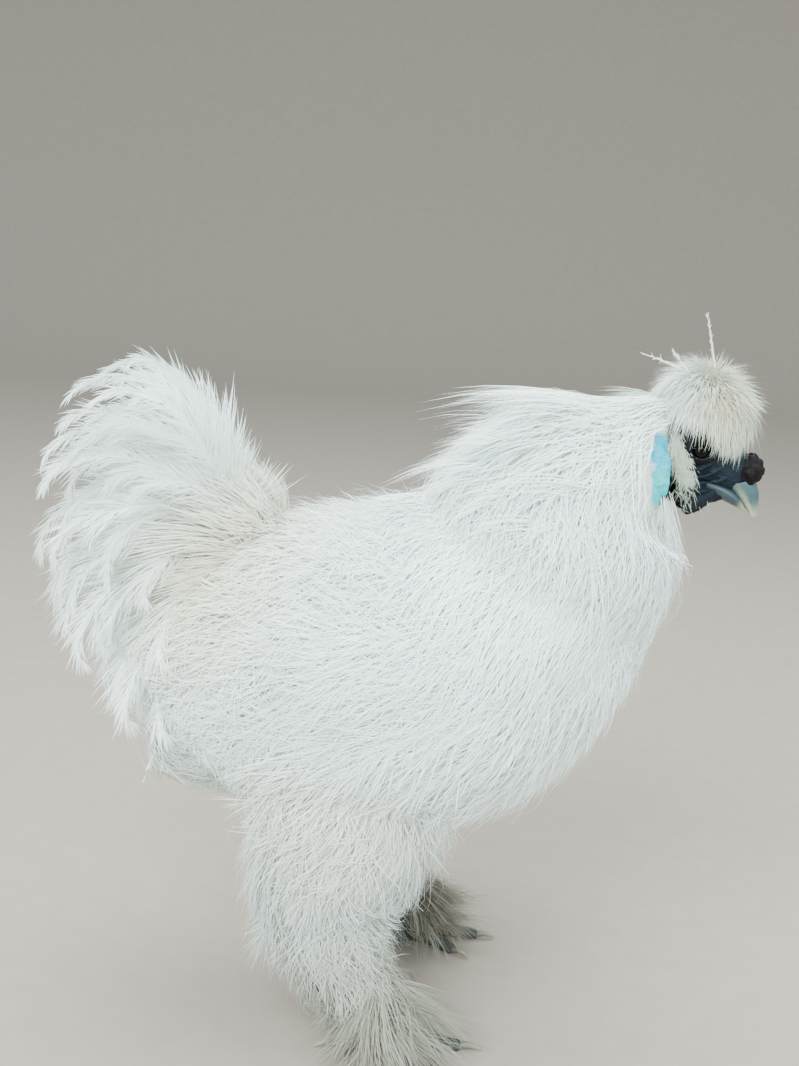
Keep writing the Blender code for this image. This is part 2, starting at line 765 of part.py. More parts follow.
def stand_on_origin():
    """Sets the origin on the floor, under the middle of the whole bird."""
    points = np.array([v.co for obj in bpy.data.objects for v in obj.data.vertices])
    low, high = points.min(axis=0), points.max(axis=0)
    middle = (low + high) / 2
    for obj in bpy.data.objects:
        obj.location = (-middle[0], -middle[1], -low[2])


def main():
    clear_scene()
    draw = random.Random(SEED)
    feather = finish("white_feather", WHITE, 0.85)
    cream = finish("cream_feather", CREAM, 0.85)
    skin = finish("slate_skin", SLATE, 0.6)
    foot_skin = finish("foot_skin", FOOT, 0.6)
    comb_skin = finish("mulberry_comb", MULBERRY, 0.5)
    lobe_skin = finish("turquoise_lobe", TURQUOISE, 0.5)
    horn = finish("slate_horn", HORN, 0.35)
    claw_horn = finish("claw_horn", CLAW, 0.4)
    eye_black = finish("eye", BLACK, 0.05)

    torso = torso_pieces(draw)
    neck = neck_pieces(draw)
    head = face_pieces()
    tail = tail_pieces(draw)
    crest = crest_pieces(draw)
    comb = [comb_piece()]
    upper, lower = [beak_upper_piece()], [beak_lower_piece()]
    eyes = {"right": [eye_piece()], "left": [mirrored(eye_piece())]}
    lobes = {"right": [earlobe_piece()], "left": [mirrored(earlobe_piece())]}
    wattles = {"right": [wattle_piece()], "left": [mirrored(wattle_piece())]}
    muff = muff_pieces(draw)
    muffs = {"right": muff, "left": [mirrored(p) for p in muff]}
    wings = {"right": wing_pieces(-1, draw), "left": wing_pieces(1, draw)}

    node("comb", comb, comb_skin)
    node("beak_upper", upper, horn, [comb], nostrils())
    node("beak_lower", lower, horn, [upper])
    for side in ("right", "left"):
        node(f"eye_{side}", eyes[side], eye_black)
        node(f"earlobe_{side}", lobes[side], lobe_skin)
        node(f"wattle_{side}", wattles[side], skin, [lower])
    bare = [comb, upper, lower, *eyes.values(), *lobes.values(), *wattles.values()]
    node("head", head, skin, bare, [mouth_line()])
    for side in ("right", "left"):
        node(f"muff_{side}", muffs[side], cream, [head, lobes[side], eyes[side], wattles[side], crest])
    node("crest", crest, cream, [head, comb, *eyes.values()])
    face = [head, crest, *lobes.values(), *wattles.values(), *muffs.values(), lower]
    node("neck", neck, feather, face)
    node("tail", tail, feather)
    legs = []
    stances = (("right", STANCE_RIGHT, -1), ("left", STANCE_LEFT, 1))
    for side, stance, outward in stances:
        thigh = leg_coat(THIGH_COAT, THIGH_CORE, THIGH_BANDS, stance, outward, draw, 5, 10)
        shank = leg_coat(SHANK_COAT, SHANK_CORE, SHANK_BANDS, stance, outward, draw, 4, 8)
        foot, claws = foot_pieces(stance, outward, draw)
        for label, claw in claws:
            node(f"claw_{side}_{label}", [claw], claw_horn)
        node(f"foot_{side}", foot, foot_skin, [[claw] for _, claw in claws])
        node(f"shank_{side}", shank, feather, [foot, *[[claw] for _, claw in claws]])
        node(f"thigh_{side}", thigh, feather, [shank, foot, wings[side]])
        node(f"wing_{side}", wings[side], feather)
        legs += [thigh, shank]
    node("torso", torso, feather, [neck, tail, *wings.values(), *legs])
    stand_on_origin()


main()
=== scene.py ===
import math

import bmesh
import bpy
import numpy as np
from mathutils import Matrix, Vector, noise


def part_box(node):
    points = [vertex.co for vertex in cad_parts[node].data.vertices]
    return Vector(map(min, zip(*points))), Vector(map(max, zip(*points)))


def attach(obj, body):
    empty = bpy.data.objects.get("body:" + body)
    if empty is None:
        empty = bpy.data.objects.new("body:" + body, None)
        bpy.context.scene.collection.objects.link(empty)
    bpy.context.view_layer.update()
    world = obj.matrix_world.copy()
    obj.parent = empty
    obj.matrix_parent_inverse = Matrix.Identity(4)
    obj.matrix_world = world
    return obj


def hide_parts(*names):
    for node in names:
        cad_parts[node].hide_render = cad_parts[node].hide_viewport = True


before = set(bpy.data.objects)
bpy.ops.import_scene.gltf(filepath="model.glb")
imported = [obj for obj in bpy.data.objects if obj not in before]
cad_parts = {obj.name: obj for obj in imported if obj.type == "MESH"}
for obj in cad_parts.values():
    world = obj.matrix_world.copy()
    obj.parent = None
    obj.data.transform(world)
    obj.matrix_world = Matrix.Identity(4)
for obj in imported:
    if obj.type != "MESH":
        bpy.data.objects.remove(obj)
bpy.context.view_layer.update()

mm = 0.001
seed = 5
rng = np.random.default_rng(seed)

# Places are in millimetres as the bird was measured: x forward, y to its left, z up from the floor.
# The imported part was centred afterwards, so everything is moved by the same step at the end.
eyeAt = (148.5, -13.2, 316.5)
eyeRadius = 4.7
eyeLow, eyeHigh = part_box("eye_right")
centring = np.array((eyeLow + eyeHigh) / 2) / mm - np.array(eyeAt)

stance = {"right": (0.0, -54.0, -1), "left": (14.0, 57.0, 1)}  # foot x and y, and which way is outward

# Outlines of the coat: x and z of each section's centre, then half width and half height
torsoCoat = [(-120, 160, 12, 14), (-110, 160, 44, 49), (-90, 173, 70, 69), (-55, 183, 88, 84),
             (-10, 190, 100, 87), (35, 198, 102, 83), (70, 210, 90, 66), (100, 223, 66, 46),
             (120, 232, 36, 28), (132, 238, 10, 10)]
neckCoat = [(56, 230, 80, 62), (76, 257, 80, 73), (86.7, 275.8, 74, 70.5), (96.6, 294.8, 58, 60),
            (113, 309, 38, 45), (125, 321, 25, 31), (134, 328, 17, 22)]
headShape = [(126, 318, 9, 10), (134, 318, 12.5, 14.5), (145, 317, 15, 18), (156, 313, 14.5, 17.5),
             (165, 307, 11.5, 13.5), (171, 302, 8, 9.5), (174, 299.5, 5, 6)]
# Outlines of the leg: x and y from the foot's place, z, half width and half length
thighCoat = [(-10, 8, 178, 26, 40), (-14, 4, 160, 36, 52), (-17, 1, 135, 38, 55), (-21, 0, 110, 34, 50),
             (-28, 0, 88, 28, 42), (-29, 0, 70, 22, 35)]
shankCoat = [(-28, 0, 84, 24, 36), (-24, 0, 60, 23, 35), (-16, 0, 42, 21, 30), (-5, 0, 26, 18, 25),
             (2, 0, 14, 15, 21)]


def unit(v):
    return v / np.maximum(np.linalg.norm(v, axis=-1, keepdims=True), 1e-9)


def inPlane(rows):
    return [(x, 0, z, w, h) for x, z, w, h in rows]


def legRows(rows, side):
    x0, y0, outward = stance[side]
    return [(x0 + x, y0 - outward * y, z, w, h) for x, y, z, w, h in rows]


def smooth(rows, count):
    # a smooth curve through the rows
    rows = np.array(rows, float)
    last = len(rows) - 1
    x = np.linspace(0, last, count)
    i = np.minimum(x.astype(int), last - 1)
    f = (x - i)[:, None]
    a, b = rows[np.maximum(i - 1, 0)], rows[i]
    c, d = rows[i + 1], rows[np.minimum(i + 2, last)]
    cubic = (3 * b - a - 3 * c + d) * f**3
    return 0.5 * (2 * b + (c - a) * f + (2 * a - 5 * b + 4 * c - d) * f**2 + cubic)


class Loft:
    # A rounded body along a smooth spine. Rows are x, y, z, half width, half height.
    def __init__(self, rows, side=(0, 1, 0), fine=160):
        table = smooth(rows, fine)
        centre = table[:, :3]
        steps = np.linalg.norm(np.diff(centre, axis=0), axis=1)
        self.run = np.concatenate([[0], np.cumsum(steps)])
        self.reach = self.run[-1]
        along = unit(np.gradient(centre, axis=0))
        side = np.array(side, float)
        across = unit(side - along * (along @ side)[:, None])
        self.frames = np.hstack([table, along, across, np.cross(along, across)])

    def look(self, run):
        return np.stack([np.interp(run, self.run, column) for column in self.frames.T], axis=-1)

    def point(self, run, angle, share, wide=0.0, high=0.0):
        # angle 0 is the upper side and a quarter turn is +y; wide and high are the least half sizes
        f = self.look(run)
        past = run - np.clip(run, 0, self.reach)
        width = np.maximum(f[..., 3], wide) * np.sin(angle)
        height = np.maximum(f[..., 4], high) * np.cos(angle)
        rim = f[..., 8:11] * width[..., None] + f[..., 11:14] * height[..., None]
        return f[..., :3] + rim * share[..., None] + f[..., 5:8] * past[..., None], unit(rim)

    def shell(self, rings, sides, share=1.0):
        # a closed mesh of the loft: points and faces
        run = np.repeat(np.linspace(0, self.reach, rings), sides).reshape(rings, sides)
        angle = np.tile(np.arange(sides) * 2 * np.pi / sides, (rings, 1))
        spots, _ = self.point(run, angle, np.full(run.shape, share))
        ends = [self.frames[0], self.frames[-1]]
        caps = [e[:3] + sign * e[5:8] * min(e[3], e[4]) * 0.4 * share for e, sign in zip(ends, (-1, 1))]
        verts = np.vstack([spots.reshape(-1, 3), caps])
        faces = []
        tail = rings * sides
        for k in range(rings - 1):
            for s in range(sides):
                n = (s + 1) % sides
                faces.append((k * sides + s, k * sides + n, (k + 1) * sides + n, (k + 1) * sides + s))
        for s in range(sides):
            n = (s + 1) % sides
            faces.append((tail, n, s))
            faces.append((tail + 1, tail - sides + s, tail - sides + n))
        return verts, faces


torso = Loft(inPlane(torsoCoat))
neck = Loft(inPlane(neckCoat))
skull = Loft(inPlane(headShape))


def place(points):
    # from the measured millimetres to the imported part's metres
    return (np.asarray(points, float) + centring) * mm


def addObject(name, data):
    obj = bpy.data.objects.new(name, data)
    bpy.context.scene.collection.objects.link(obj)
    return obj


def addMesh(name, verts, faces, material=None):
    mesh = bpy.data.meshes.new(name)
    mesh.from_pydata([tuple(v) for v in place(verts)], [], [tuple(int(i) for i in f) for f in faces])
    bm = bmesh.new()
    bm.from_mesh(mesh)
    bmesh.ops.recalc_face_normals(bm, faces=bm.faces)
    bm.to_mesh(mesh)
    bm.free()
    mesh.shade_smooth()
    if material:
        mesh.materials.append(material)
    return addObject(name, mesh)


def applied(obj):
    # bakes the modifiers into the mesh
    graph = bpy.context.evaluated_depsgraph_get()
    mesh = bpy.data.meshes.new_from_object(obj.evaluated_get(graph))
    obj.modifiers.clear()
    obj.data = mesh
    return obj


def points(mesh):
    flat = np.zeros(len(mesh.vertices) * 3)
    mesh.vertices.foreach_get("co", flat)
    return flat.reshape(-1, 3) / mm - centring


def setPoints(mesh, coords):
    mesh.vertices.foreach_set("co", place(coords).ravel())
    mesh.update()


def normals(mesh):
    flat = np.zeros(len(mesh.vertices) * 3, np.float32)
    mesh.vertex_normals.foreach_get("vector", flat)
    return flat.reshape(-1, 3).astype(float)


def paint(mesh, rgb):
    # a colour for each vertex
    rgba = np.ones((len(mesh.vertices), 4), np.float32)
    rgba[:, :3] = np.clip(rgb, 0, 1)
    layer = mesh.color_attributes.new("tint", "FLOAT_COLOR", "POINT")
    layer.data.foreach_set("color", rgba.ravel())


def setUnwrap(mesh, spots):
    # a spot on the unwrap for each corner of each face
    layer = mesh.uv_layers.new(name="OFBake")
    layer.data.foreach_set("uv", spots.ravel().astype(np.float32))


def dress(obj, slotName, *nodes):
    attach(obj, "root")
    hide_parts(*nodes)


def lumps(coords, size):
    # smooth noise from -1 to 1 at each point; size is that of a lump in mm
    return np.array([noise.fractal(Vector(p / size), 1.0, 2.0, 2) for p in coords])


def near(coords, centre, radius):
    # 1 at the centre and falling softly to 0 past the radius
    gap = (coords - np.array(centre)) / np.array(radius)
    return np.exp(-(gap**2).sum(axis=-1))


def towards(rgb, colour, share):
    # moves each colour of a list towards another by its own share
    return rgb + (colour - rgb) * np.clip(share, 0, 1)[:, None]


def oneSided(coords):
    # both sides of the bird folded onto its left side
    return coords * (1, 0, 1) + np.abs(coords * (0, 1, 0))


# Materials

class Wire:
    # a socket that can stand in a sum
    def __init__(self, finish, socket):
        self.finish = finish
        self.socket = socket

    def __add__(self, other):
        return self.finish.maths("ADD", self, other)

    def __sub__(self, other):
        return self.finish.maths("SUBTRACT", self, other)

    def __rsub__(self, other):
        return self.finish.maths("SUBTRACT", other, self)

    def __mul__(self, other):
        return self.finish.maths("MULTIPLY", self, other)

    __radd__ = __add__
    __rmul__ = __mul__


class Finish:
    def __init__(self, name, **constants):
        self.material = bpy.data.materials.new(name)
        self.material.use_nodes = True
        self.tree = self.material.node_tree
        self.shader = self.tree.nodes["Principled BSDF"]
        for label, value in constants.items():
            self.shader.inputs[label.replace("_", " ")].default_value = value

    def node(self, kind, settings, inputs, output=0):
        made = self.tree.nodes.new(kind)
        for key, value in settings.items():
            if key == "stops":
                ramp = made.color_ramp
                while len(ramp.elements) < len(value):
                    ramp.elements.new(0.5)
                for element, (position, rgb) in zip(ramp.elements, value):
                    element.position = position
                    element.color = (*rgb, 1)
            else:
                setattr(made, key, value)
        for key, value in inputs.items():
            self.feed(made.inputs[key], value)
        return Wire(self, made.outputs[output])

    def feed(self, socket, value):
        if isinstance(value, Wire):
            self.tree.links.new(value.socket, socket)
        else:
            socket.default_value = value

    def maths(self, operation, a, b):
        return self.node("ShaderNodeMath", {"operation": operation}, {0: a, 1: b})

    def shaded(self, shade):
        # the vertex colours, made darker or lighter by a ramp
        kind = {"data_type": "RGBA", "blend_type": "MULTIPLY"}
        tint = self.node("ShaderNodeVertexColor", {"layer_name": "tint"}, {})
        return self.node("ShaderNodeMix", kind, {0: 1.0, 6: tint, 7: shade}, 2)

    def place(self):
        return self.node("ShaderNodeTexCoord", {}, {}, "Object")

    def noise(self, perMetre, detail):
        values = {"Vector": self.place(), "Scale": perMetre, "Detail": detail}
        return self.node("ShaderNodeTexNoise", {}, values)

    def cells(self, perMetre):
        return self.node("ShaderNodeTexVoronoi", {}, {"Vector": self.place(), "Scale": perMetre})

    def ramp(self, factor, stops):
        return self.node("ShaderNodeValToRGB", {"stops": stops}, {0: factor})

    def bump(self, height, strength, depth):
        values = {"Height": height, "Strength": strength, "Distance": depth}
        return self.node("ShaderNodeBump", {}, values)

    def set(self, label, value):
        self.feed(self.shader.inputs[label], value)


def featherFinish():
    look = {"roughness": 0.7, "patches": 14.0, "grain": 420.0, "dark": 0.94}
    f = Finish("silky_feather", Roughness=look["roughness"], Specular_IOR_Level=0.2)
    patch = f.noise(look["patches"], 3.0)
    grain = f.noise(look["grain"], 2.0)
    shade = f.ramp(patch * 0.7 + grain * 0.3, [(0.30, (look["dark"],) * 3), (0.65, (1.0, 1.0, 1.0))])
    f.set("Base Color", f.shaded(shade))
    return f.material


def skinFinish():
    look = {"cells": 900.0, "grain": 1600.0, "roughness": (0.5, 0.25), "bump": 0.55, "depth": 0.0006}
    f = Finish("bird_skin", Roughness=0.6, Specular_IOR_Level=0.15)
    wrinkle = f.cells(look["cells"])
    grain = f.noise(look["grain"], 3.0)
    least, more = look["roughness"]
    f.set("Base Color", f.shaded(f.ramp(grain, [(0.3, (0.62, 0.64, 0.68)), (0.7, (1.15, 1.12, 1.1))])))
    f.set("Roughness", least + grain * more)
    f.set("Normal", f.bump(wrinkle * 0.5 + grain * 0.5, look["bump"], look["depth"]))
    return f.material


def hornFinish():
    look = {"streaks": 700.0, "roughness": (0.30, 0.2), "bump": 0.25, "depth": 0.0004}
    f = Finish("bill_horn", Roughness=0.35, Coat_Weight=0.15, Coat_Roughness=0.3)
    streak = f.noise(look["streaks"], 4.0)
    least, more = look["roughness"]
    f.set("Base Color", f.shaded(f.ramp(streak, [(0.3, (0.78, 0.78, 0.78)), (0.7, (1.08, 1.08, 1.08))])))
    f.set("Roughness", least + streak * more)
    f.set("Normal", f.bump(streak, look["bump"], look["depth"]))
    return f.material


def eyeFinish():
    look = {"specks": 2500.0, "roughness": 0.06, "coat": 0.05}
    f = Finish("eye_wet", Roughness=look["roughness"], Specular_IOR_Level=0.1, Coat_Weight=look["coat"],
               Coat_Roughness=0.03)
    speck = f.noise(look["specks"], 2.0)
    f.set("Base Color", f.shaded(f.ramp(speck, [(0.35, (0.6, 0.6, 0.6)), (0.65, (1.2, 1.2, 1.2))])))
    return f.material


def floorFinish():
    look = {"specks": 60.0, "dark": (0.318, 0.256, 0.222), "light": (0.338, 0.274, 0.238)}
    f = Finish("pale_floor", Roughness=0.9, Specular_IOR_Level=0.2)
    f.set("Base Color", f.ramp(f.noise(look["specks"], 4.0), [(0.3, look["dark"]), (0.7, look["light"])]))
    return f.material


feather = featherFinish()
skin = skinFinish()
horn = hornFinish()
wetEye = eyeFinish()
print("materials made")


# Camera, floor and light

def rollCamera():
    # the phone was held 12 degrees down and rolled a little to one side
    look = {"at": (0.0, -654.0, 402.0), "pitch": 12.1, "roll": 3.41, "focalPixels": 1282.0,
            "tall": 1066.0, "sensor": 36.0}
    p, r = math.radians(look["pitch"]), math.radians(look["roll"])
    up = Vector((0, math.sin(p), math.cos(p)))
    back = Vector((0, -math.cos(p), math.sin(p)))
    right = Vector((1, 0, 0))
    x = right * math.cos(r) + up * math.sin(r)
    y = up * math.cos(r) - right * math.sin(r)
    data = bpy.data.cameras.new("camera")
    data.sensor_width = look["sensor"]
    data.lens = look["focalPixels"] / look["tall"] * look["sensor"]
    data.clip_start = 0.01
    camera = addObject("camera", data)
    spin = Matrix((x, y, back)).transposed().to_4x4()
    camera.matrix_world = Matrix.Translation(Vector(place(look["at"]))) @ spin
    bpy.context.scene.camera = camera


def makeFloor():
    # a floor that curves up into a wall far behind
    look = {"half": 6000.0, "wallAt": 3200.0, "bend": 1800.0, "wall": 5000.0, "steps": 12}
    profile = [(-look["half"], 0.0), (look["wallAt"], 0.0)]
    for i in range(1, look["steps"] + 1):
        a = math.pi / 2 * i / look["steps"]
        profile.append((look["wallAt"] + look["bend"] * math.sin(a), look["bend"] * (1 - math.cos(a))))
    profile.append((look["wallAt"] + look["bend"], look["wall"]))
    verts = [(x, y, z) for y, z in profile for x in (-look["half"], look["half"])]
    faces = [(2 * i, 2 * i + 1, 2 * i + 3, 2 * i + 2) for i in range(len(profile) - 1)]
    mesh = bpy.data.meshes.new("floor")
    mesh.from_pydata([Vector(v) * mm for v in verts], [], faces)
    mesh.shade_smooth()
    mesh.materials.append(floorFinish())
    addObject("floor", mesh)


def makeLight():
    # three soft square lamps and a pale sky; places and sizes in metres
    lamps = {
        "key": {"at": (-0.6, -1.4, 1.4), "aim": (0, 0, 0.18), "size": 1.2, "watts": 100.0,
                "rgb": (0.86, 1.0, 0.97)},
        "fill": {"at": (1.3, -1.1, 0.7), "aim": (0, 0, 0.2), "size": 1.3, "watts": 26.0,
                 "rgb": (0.83, 0.97, 1.0)},
        "top": {"at": (0.1, 0.3, 1.7), "aim": (0, 0, 0.2), "size": 1.3, "watts": 52.0,
                "rgb": (0.88, 1.0, 0.97)},
    }
    sky = {"rgb": (0.75, 0.91, 0.92, 1), "strength": 1.5}
    for name, lamp in lamps.items():
        data = bpy.data.lights.new(name, "AREA")
        data.shape = "SQUARE"
        data.size = lamp["size"]
        data.energy = lamp["watts"]
        data.color = lamp["rgb"]
        obj = addObject(name, data)
        obj.location = lamp["at"]
        aim = Vector(lamp["aim"]) - Vector(lamp["at"])
        obj.rotation_euler = aim.to_track_quat("-Z", "Y").to_euler()
    world = bpy.data.worlds.new("studio")
    world.use_nodes = True
    background = world.node_tree.nodes["Background"]
    background.inputs["Color"].default_value = sky["rgb"]
    background.inputs["Strength"].default_value = sky["strength"]
    bpy.context.scene.world = world


rollCamera()
makeFloor()
makeLight()
print("camera, floor and light set")


# Strands: thin tapered blades, each a closed body of three sides

profiles = {4: (0.8, 1.0, 0.66, 0.0), 6: (0.7, 1.0, 0.95, 0.78, 0.5, 0.0)}  # width along a strand, by knots
flatness = 0.45  # a strand's height as a share of its width
patchSize = 0.003  # how much of the coat's unwrap one strand takes
evenSteps = (0.7548776662, 0.5698402910)  # steps that fill a square evenly
knotRun = np.linspace(0, 1, 4)[None, None, :, None]  # where a strand's four knots stand along it


def bladeFaces(knots):
    # four-sided faces along a strand, then three that close its tip and one that closes its root
    nexts = ((0, 1), (1, 2), (2, 0))
    quads = [(i + j, i + 3 + j, i + 3 + k, i + k) for i in range(0, 3 * (knots - 2), 3) for j, k in nexts]
    last, tip = 3 * (knots - 2), 3 * (knots - 1)
    tris = [(last + j, tip, last + k) for j, k in nexts] + [(0, 1, 2)]
    return np.array(quads), np.array(tris)


def layPiece(name, node, groups, slotName="white_feather", floor=None):
    # Each group has paths n x knots x 3, the way out, widths n, colours, and places on the unwrap n x 2.
    # The way out and the colours are given for each strand or for each knot.
    parts = []
    for paths, out, width, rgb, root in groups:
        out, rgb = (np.broadcast_to(a if a.ndim == 3 else a[:, None], paths.shape) for a in (out, rgb))
        parts.append((paths, out, width, rgb, root))
    paths, out, width, rgb, root = (np.concatenate(column) for column in zip(*parts))
    if floor is not None:
        paths[..., 2] = np.maximum(paths[..., 2], floor)
    n, knots = paths.shape[:2]
    ahead = unit(np.gradient(paths, axis=1))
    side = unit(np.cross(ahead, out))
    up = np.cross(side, ahead)
    size = (width[:, None] * np.array(profiles[knots])[None, :] * 0.5)[..., None]
    ring = np.stack([paths + side * size, paths + up * size * flatness, paths - side * size], axis=2)[:, :-1]
    verts = np.concatenate([ring.reshape(n, -1, 3), paths[:, -1:]], axis=1)
    per = verts.shape[1]
    quads, tris = bladeFaces(knots)
    base = (np.arange(n) * per)[:, None, None]
    loops = np.concatenate([(quads + base).reshape(n, -1), (tris + base).reshape(n, -1)], axis=1).ravel()
    totals = np.tile([4] * len(quads) + [3] * len(tris), n)
    mesh = bpy.data.meshes.new(name)
    mesh.vertices.add(n * per)
    mesh.vertices.foreach_set("co", place(verts.reshape(-1, 3)).ravel())
    mesh.loops.add(len(loops))
    mesh.loops.foreach_set("vertex_index", loops.astype(np.int32))
    mesh.polygons.add(len(totals))
    starts = np.concatenate([[0], np.cumsum(totals)[:-1]])
    mesh.polygons.foreach_set("loop_start", starts.astype(np.int32))
    mesh.update(calc_edges=True)
    mesh.shade_flat()
    tint = np.concatenate([np.repeat(rgb[:, :-1], 3, axis=1), rgb[:, -1:]], axis=1)
    paint(mesh, tint.reshape(-1, 3))
    # each strand is one small patch of the coat's unwrap
    along = np.append(np.repeat(np.linspace(0, 1, knots)[:-1], 3), 1.0)
    across = np.append(np.tile((0.0, 0.5, 1.0), knots - 1), 0.5)
    spot = root[:, None] * (1 - patchSize) + patchSize * np.stack([along, across], axis=-1)
    setUnwrap(mesh, spot.reshape(-1, 2)[loops])
    mesh.materials.append(feather)
    dress(addObject(name, mesh), slotName, node)
    print(name, n, "strands,", n * (2 * len(quads) + len(tris)), "triangles")


def layCut(name, node, group, edges):
    # one coat cut into pieces by where its roots stand, from the tail forward
    piece = np.digitize(group[0][:, 0, 0], edges)
    for i in range(len(edges) + 1):
        layPiece(f"{name}_{i + 1}", node, [[a[piece == i] for a in group]])


def evenPairs(count, starts=(0.5, 0.5)):
    # pairs of numbers from 0 to 1 that fill a square evenly
    i = np.arange(count)
    return [(start + i * step) % 1 for start, step in zip(starts, evenSteps)]


def spread(loft, count, low, high):
    # roots spread evenly over the loft between two shares of its length
    edge = np.linspace(low, high, 200) * loft.reach
    f = loft.look(edge)
    weight = np.cumsum(f[:, 3] + f[:, 4])
    ahead, around = evenPairs(count)
    return np.interp(ahead * weight[-1], weight, edge), 2 * np.pi * around


def rise(s, power):
    # from 0 to 1, fast at first
    return 1 - (1 - s) ** power


def bezier(s, *knots):
    # a curve from the first knot to the last, pulled by those between
    last = len(knots) - 1
    return sum(math.comb(last, k) * s**k * (1 - s) ** (last - k) * knot for k, knot in enumerate(knots))


def fanned(tufts, strands, loose):
    # where each strand of a tuft stands across it, from -1 to 1
    return np.tile(np.linspace(-1, 1, strands), (tufts, 1)) + rng.normal(0, loose, (tufts, strands))


def lengths(length, fan, drop, loose):
    # the strands of a tuft, shorter towards its sides
    return length[:, None] * (1 - drop * fan**2) * (1 + rng.normal(0, loose, fan.shape))


def widths(width, count, least=0.7, more=0.6):
    # strands differ in width by a random share
    return width * (least + more * rng.random(count))


def jitter(root, by):
    # strands of one tuft stand on spots of their own on the unwrap
    return np.clip(root + rng.normal(0, by, root.shape), 0, 1)


def layTufts(loft, run, angle, look, lie=-1):
    # tufts of strands that leave the skin, fan out and lie along the body; lie is -1 towards the first row
    n, m = len(run), look["strands"]
    total = n * m
    f = loft.look(run)

    def per(value):
        return np.repeat(np.broadcast_to(value, (n,)), m)

    def vary(by, count=n):
        return rng.normal(0, 1, count) * by

    radius = per(0.5 * (f[:, 3] + f[:, 4]))[:, None]
    fan = np.tile(np.linspace(-1, 1, m), n) + vary(0.12, total)
    length = per(look["length"] * (1 + vary(0.10))) * (1 - 0.30 * fan**2) * (1 + vary(0.12, total))
    yaw = (per(look["droop"] * np.sin(angle) + vary(look["yaw"])) + vary(look["mess"], total))[:, None]
    stray = (rng.random(total) < 0.10) * rng.random(total)
    top = per(look["high"] + vary(look["loose"])) + vary(look["loose"] * 0.6, total) + stray * look["stray"]
    wide = per(look["fan"] * (1 + vary(0.15)))[:, None]
    bow = per(vary(look["bow"]))[:, None]
    phase = rng.uniform(0, 2 * np.pi, total)[:, None]
    wave = (look["wave"] * (0.6 + 0.8 * rng.random(total)))[:, None]
    startRun = per(run) + vary(look["patch"], total)
    startSide = vary(look["patch"], total)
    s = np.linspace(0, 1, 4)[None, :]
    ahead = length[:, None] * s
    clump = s**0.75 * (1.0 - look["clump"] * s**2)
    side = startSide[:, None] + fan[:, None] * wide * clump + bow * s**2
    side = side + wave * np.sin(phase + 5.0 * s) * s
    along = startRun[:, None] + lie * (ahead * np.cos(yaw))
    turn = per(angle)[:, None] + (side + ahead * np.sin(yaw)) / radius
    lift = look["low"] + (top - look["low"])[:, None] * rise(s, look["rise"])
    lift = lift + wave / radius * np.cos(phase * 1.7 + 4.0 * s) * s
    hold = np.maximum(1 - look["hold"] * s, 0.0)
    paths, out = loft.point(along, turn, lift, per(f[:, 3])[:, None] * hold, per(f[:, 4])[:, None] * hold)
    root = np.stack([per(run) / loft.reach * 0.98 + 0.01, per(angle / (2 * np.pi)) % 1], axis=-1)
    root = np.clip(root + vary(0.004, (total, 2)), 0, 1)
    width = look["width"] * (0.75 + 0.5 * rng.random(total)) * (1 - 0.5 * stray)
    return paths, out, width, root


white = np.array((0.865, 0.96, 0.95))
warm = np.array((0.90, 0.84, 0.70))
# Where the white is stained cream: place, how far it reaches, and how strong
stains = [((-72, 30, 232), (42, 60, 34), 0.75), ((-28, 85, 140), (50, 40, 26), 0.62),
          ((-60, 0, 262), (34, 50, 20), 0.40), ((-95, 0, 200), (30, 50, 50), 0.3),
          ((-8, 56, 40), (44, 50, 44), 0.5)]
# Painted shade, with some greyer plumage: the loose tail plumes, the nape and the saddle
greysAndShade = [((-125, 0, 250), (60, 200, 90), 0.13), ((96, 0, 305), (40, 100, 40), 0.07),
         ((-50, 0, 245), (40, 100, 30), 0.08)]
# painted shade that darkens the coat towards the floor, by the height of each strand's root
legShade = ((0, 30, 80, 130, 165), (0.36, 0.47, 0.68, 0.88, 1.0))  # darker down the legs, by height


def coatTint(paths, extra=0.0):
    # warm near the stains and the roots, cool white elsewhere, each strand a little different, and darker
    # where shade is painted in
    ground = paths[:, 0]
    share = np.full(len(paths), 0.04) + extra
    for centre, radius, strength in stains:
        share = share + strength * near(oneSided(ground), centre, radius)
    share = np.clip(share + rng.normal(0, 0.05, len(paths)), 0, 1)[:, None, None]
    depth = np.linspace(0.15, 0, paths.shape[1])[None, :, None]
    # painted shade: strands with lower roots are painted darker
    value = rng.normal(1.0, 0.02, len(paths)) * np.interp(ground[:, 2], *legShade)
    # painted shade, with some greyer plumage, on the tail plumes, the nape and the saddle
    for centre, radius, strength in greysAndShade:
        value = value * (1 - strength * near(ground, centre, radius))
    return (white + (warm - white) * np.clip(share + depth * 0.6, 0, 1)) * value[:, None, None]


def coated(paths, out, width, root, cream=0.0):
    # a group of strands in the coat's colours
    return paths, out, width, coatTint(paths, cream), root


def overBody(paths, share):
    # lifts what lies inside that share of the trunk's outline out to it
    f = torso.look(np.interp(paths[..., 0], torso.frames[:, 0], torso.run))
    inside = paths[..., 0] < 140
    away = np.stack([np.zeros(inside.shape), paths[..., 1], paths[..., 2] - f[..., 2]], axis=-1)
    depth = np.hypot(away[..., 1] / f[..., 3], away[..., 2] / f[..., 4])
    push = np.where(inside & (depth < share), share / np.maximum(depth, 0.35) - 1, 0.0)
    return paths + away * push[..., None]


def underNape(paths):
    # presses down what would rise past the nape's line
    nape = 337
    paths[..., 2] = np.minimum(paths[..., 2], nape + (paths[..., 2] - nape) * 0.55)
    return paths


# The body's plumage

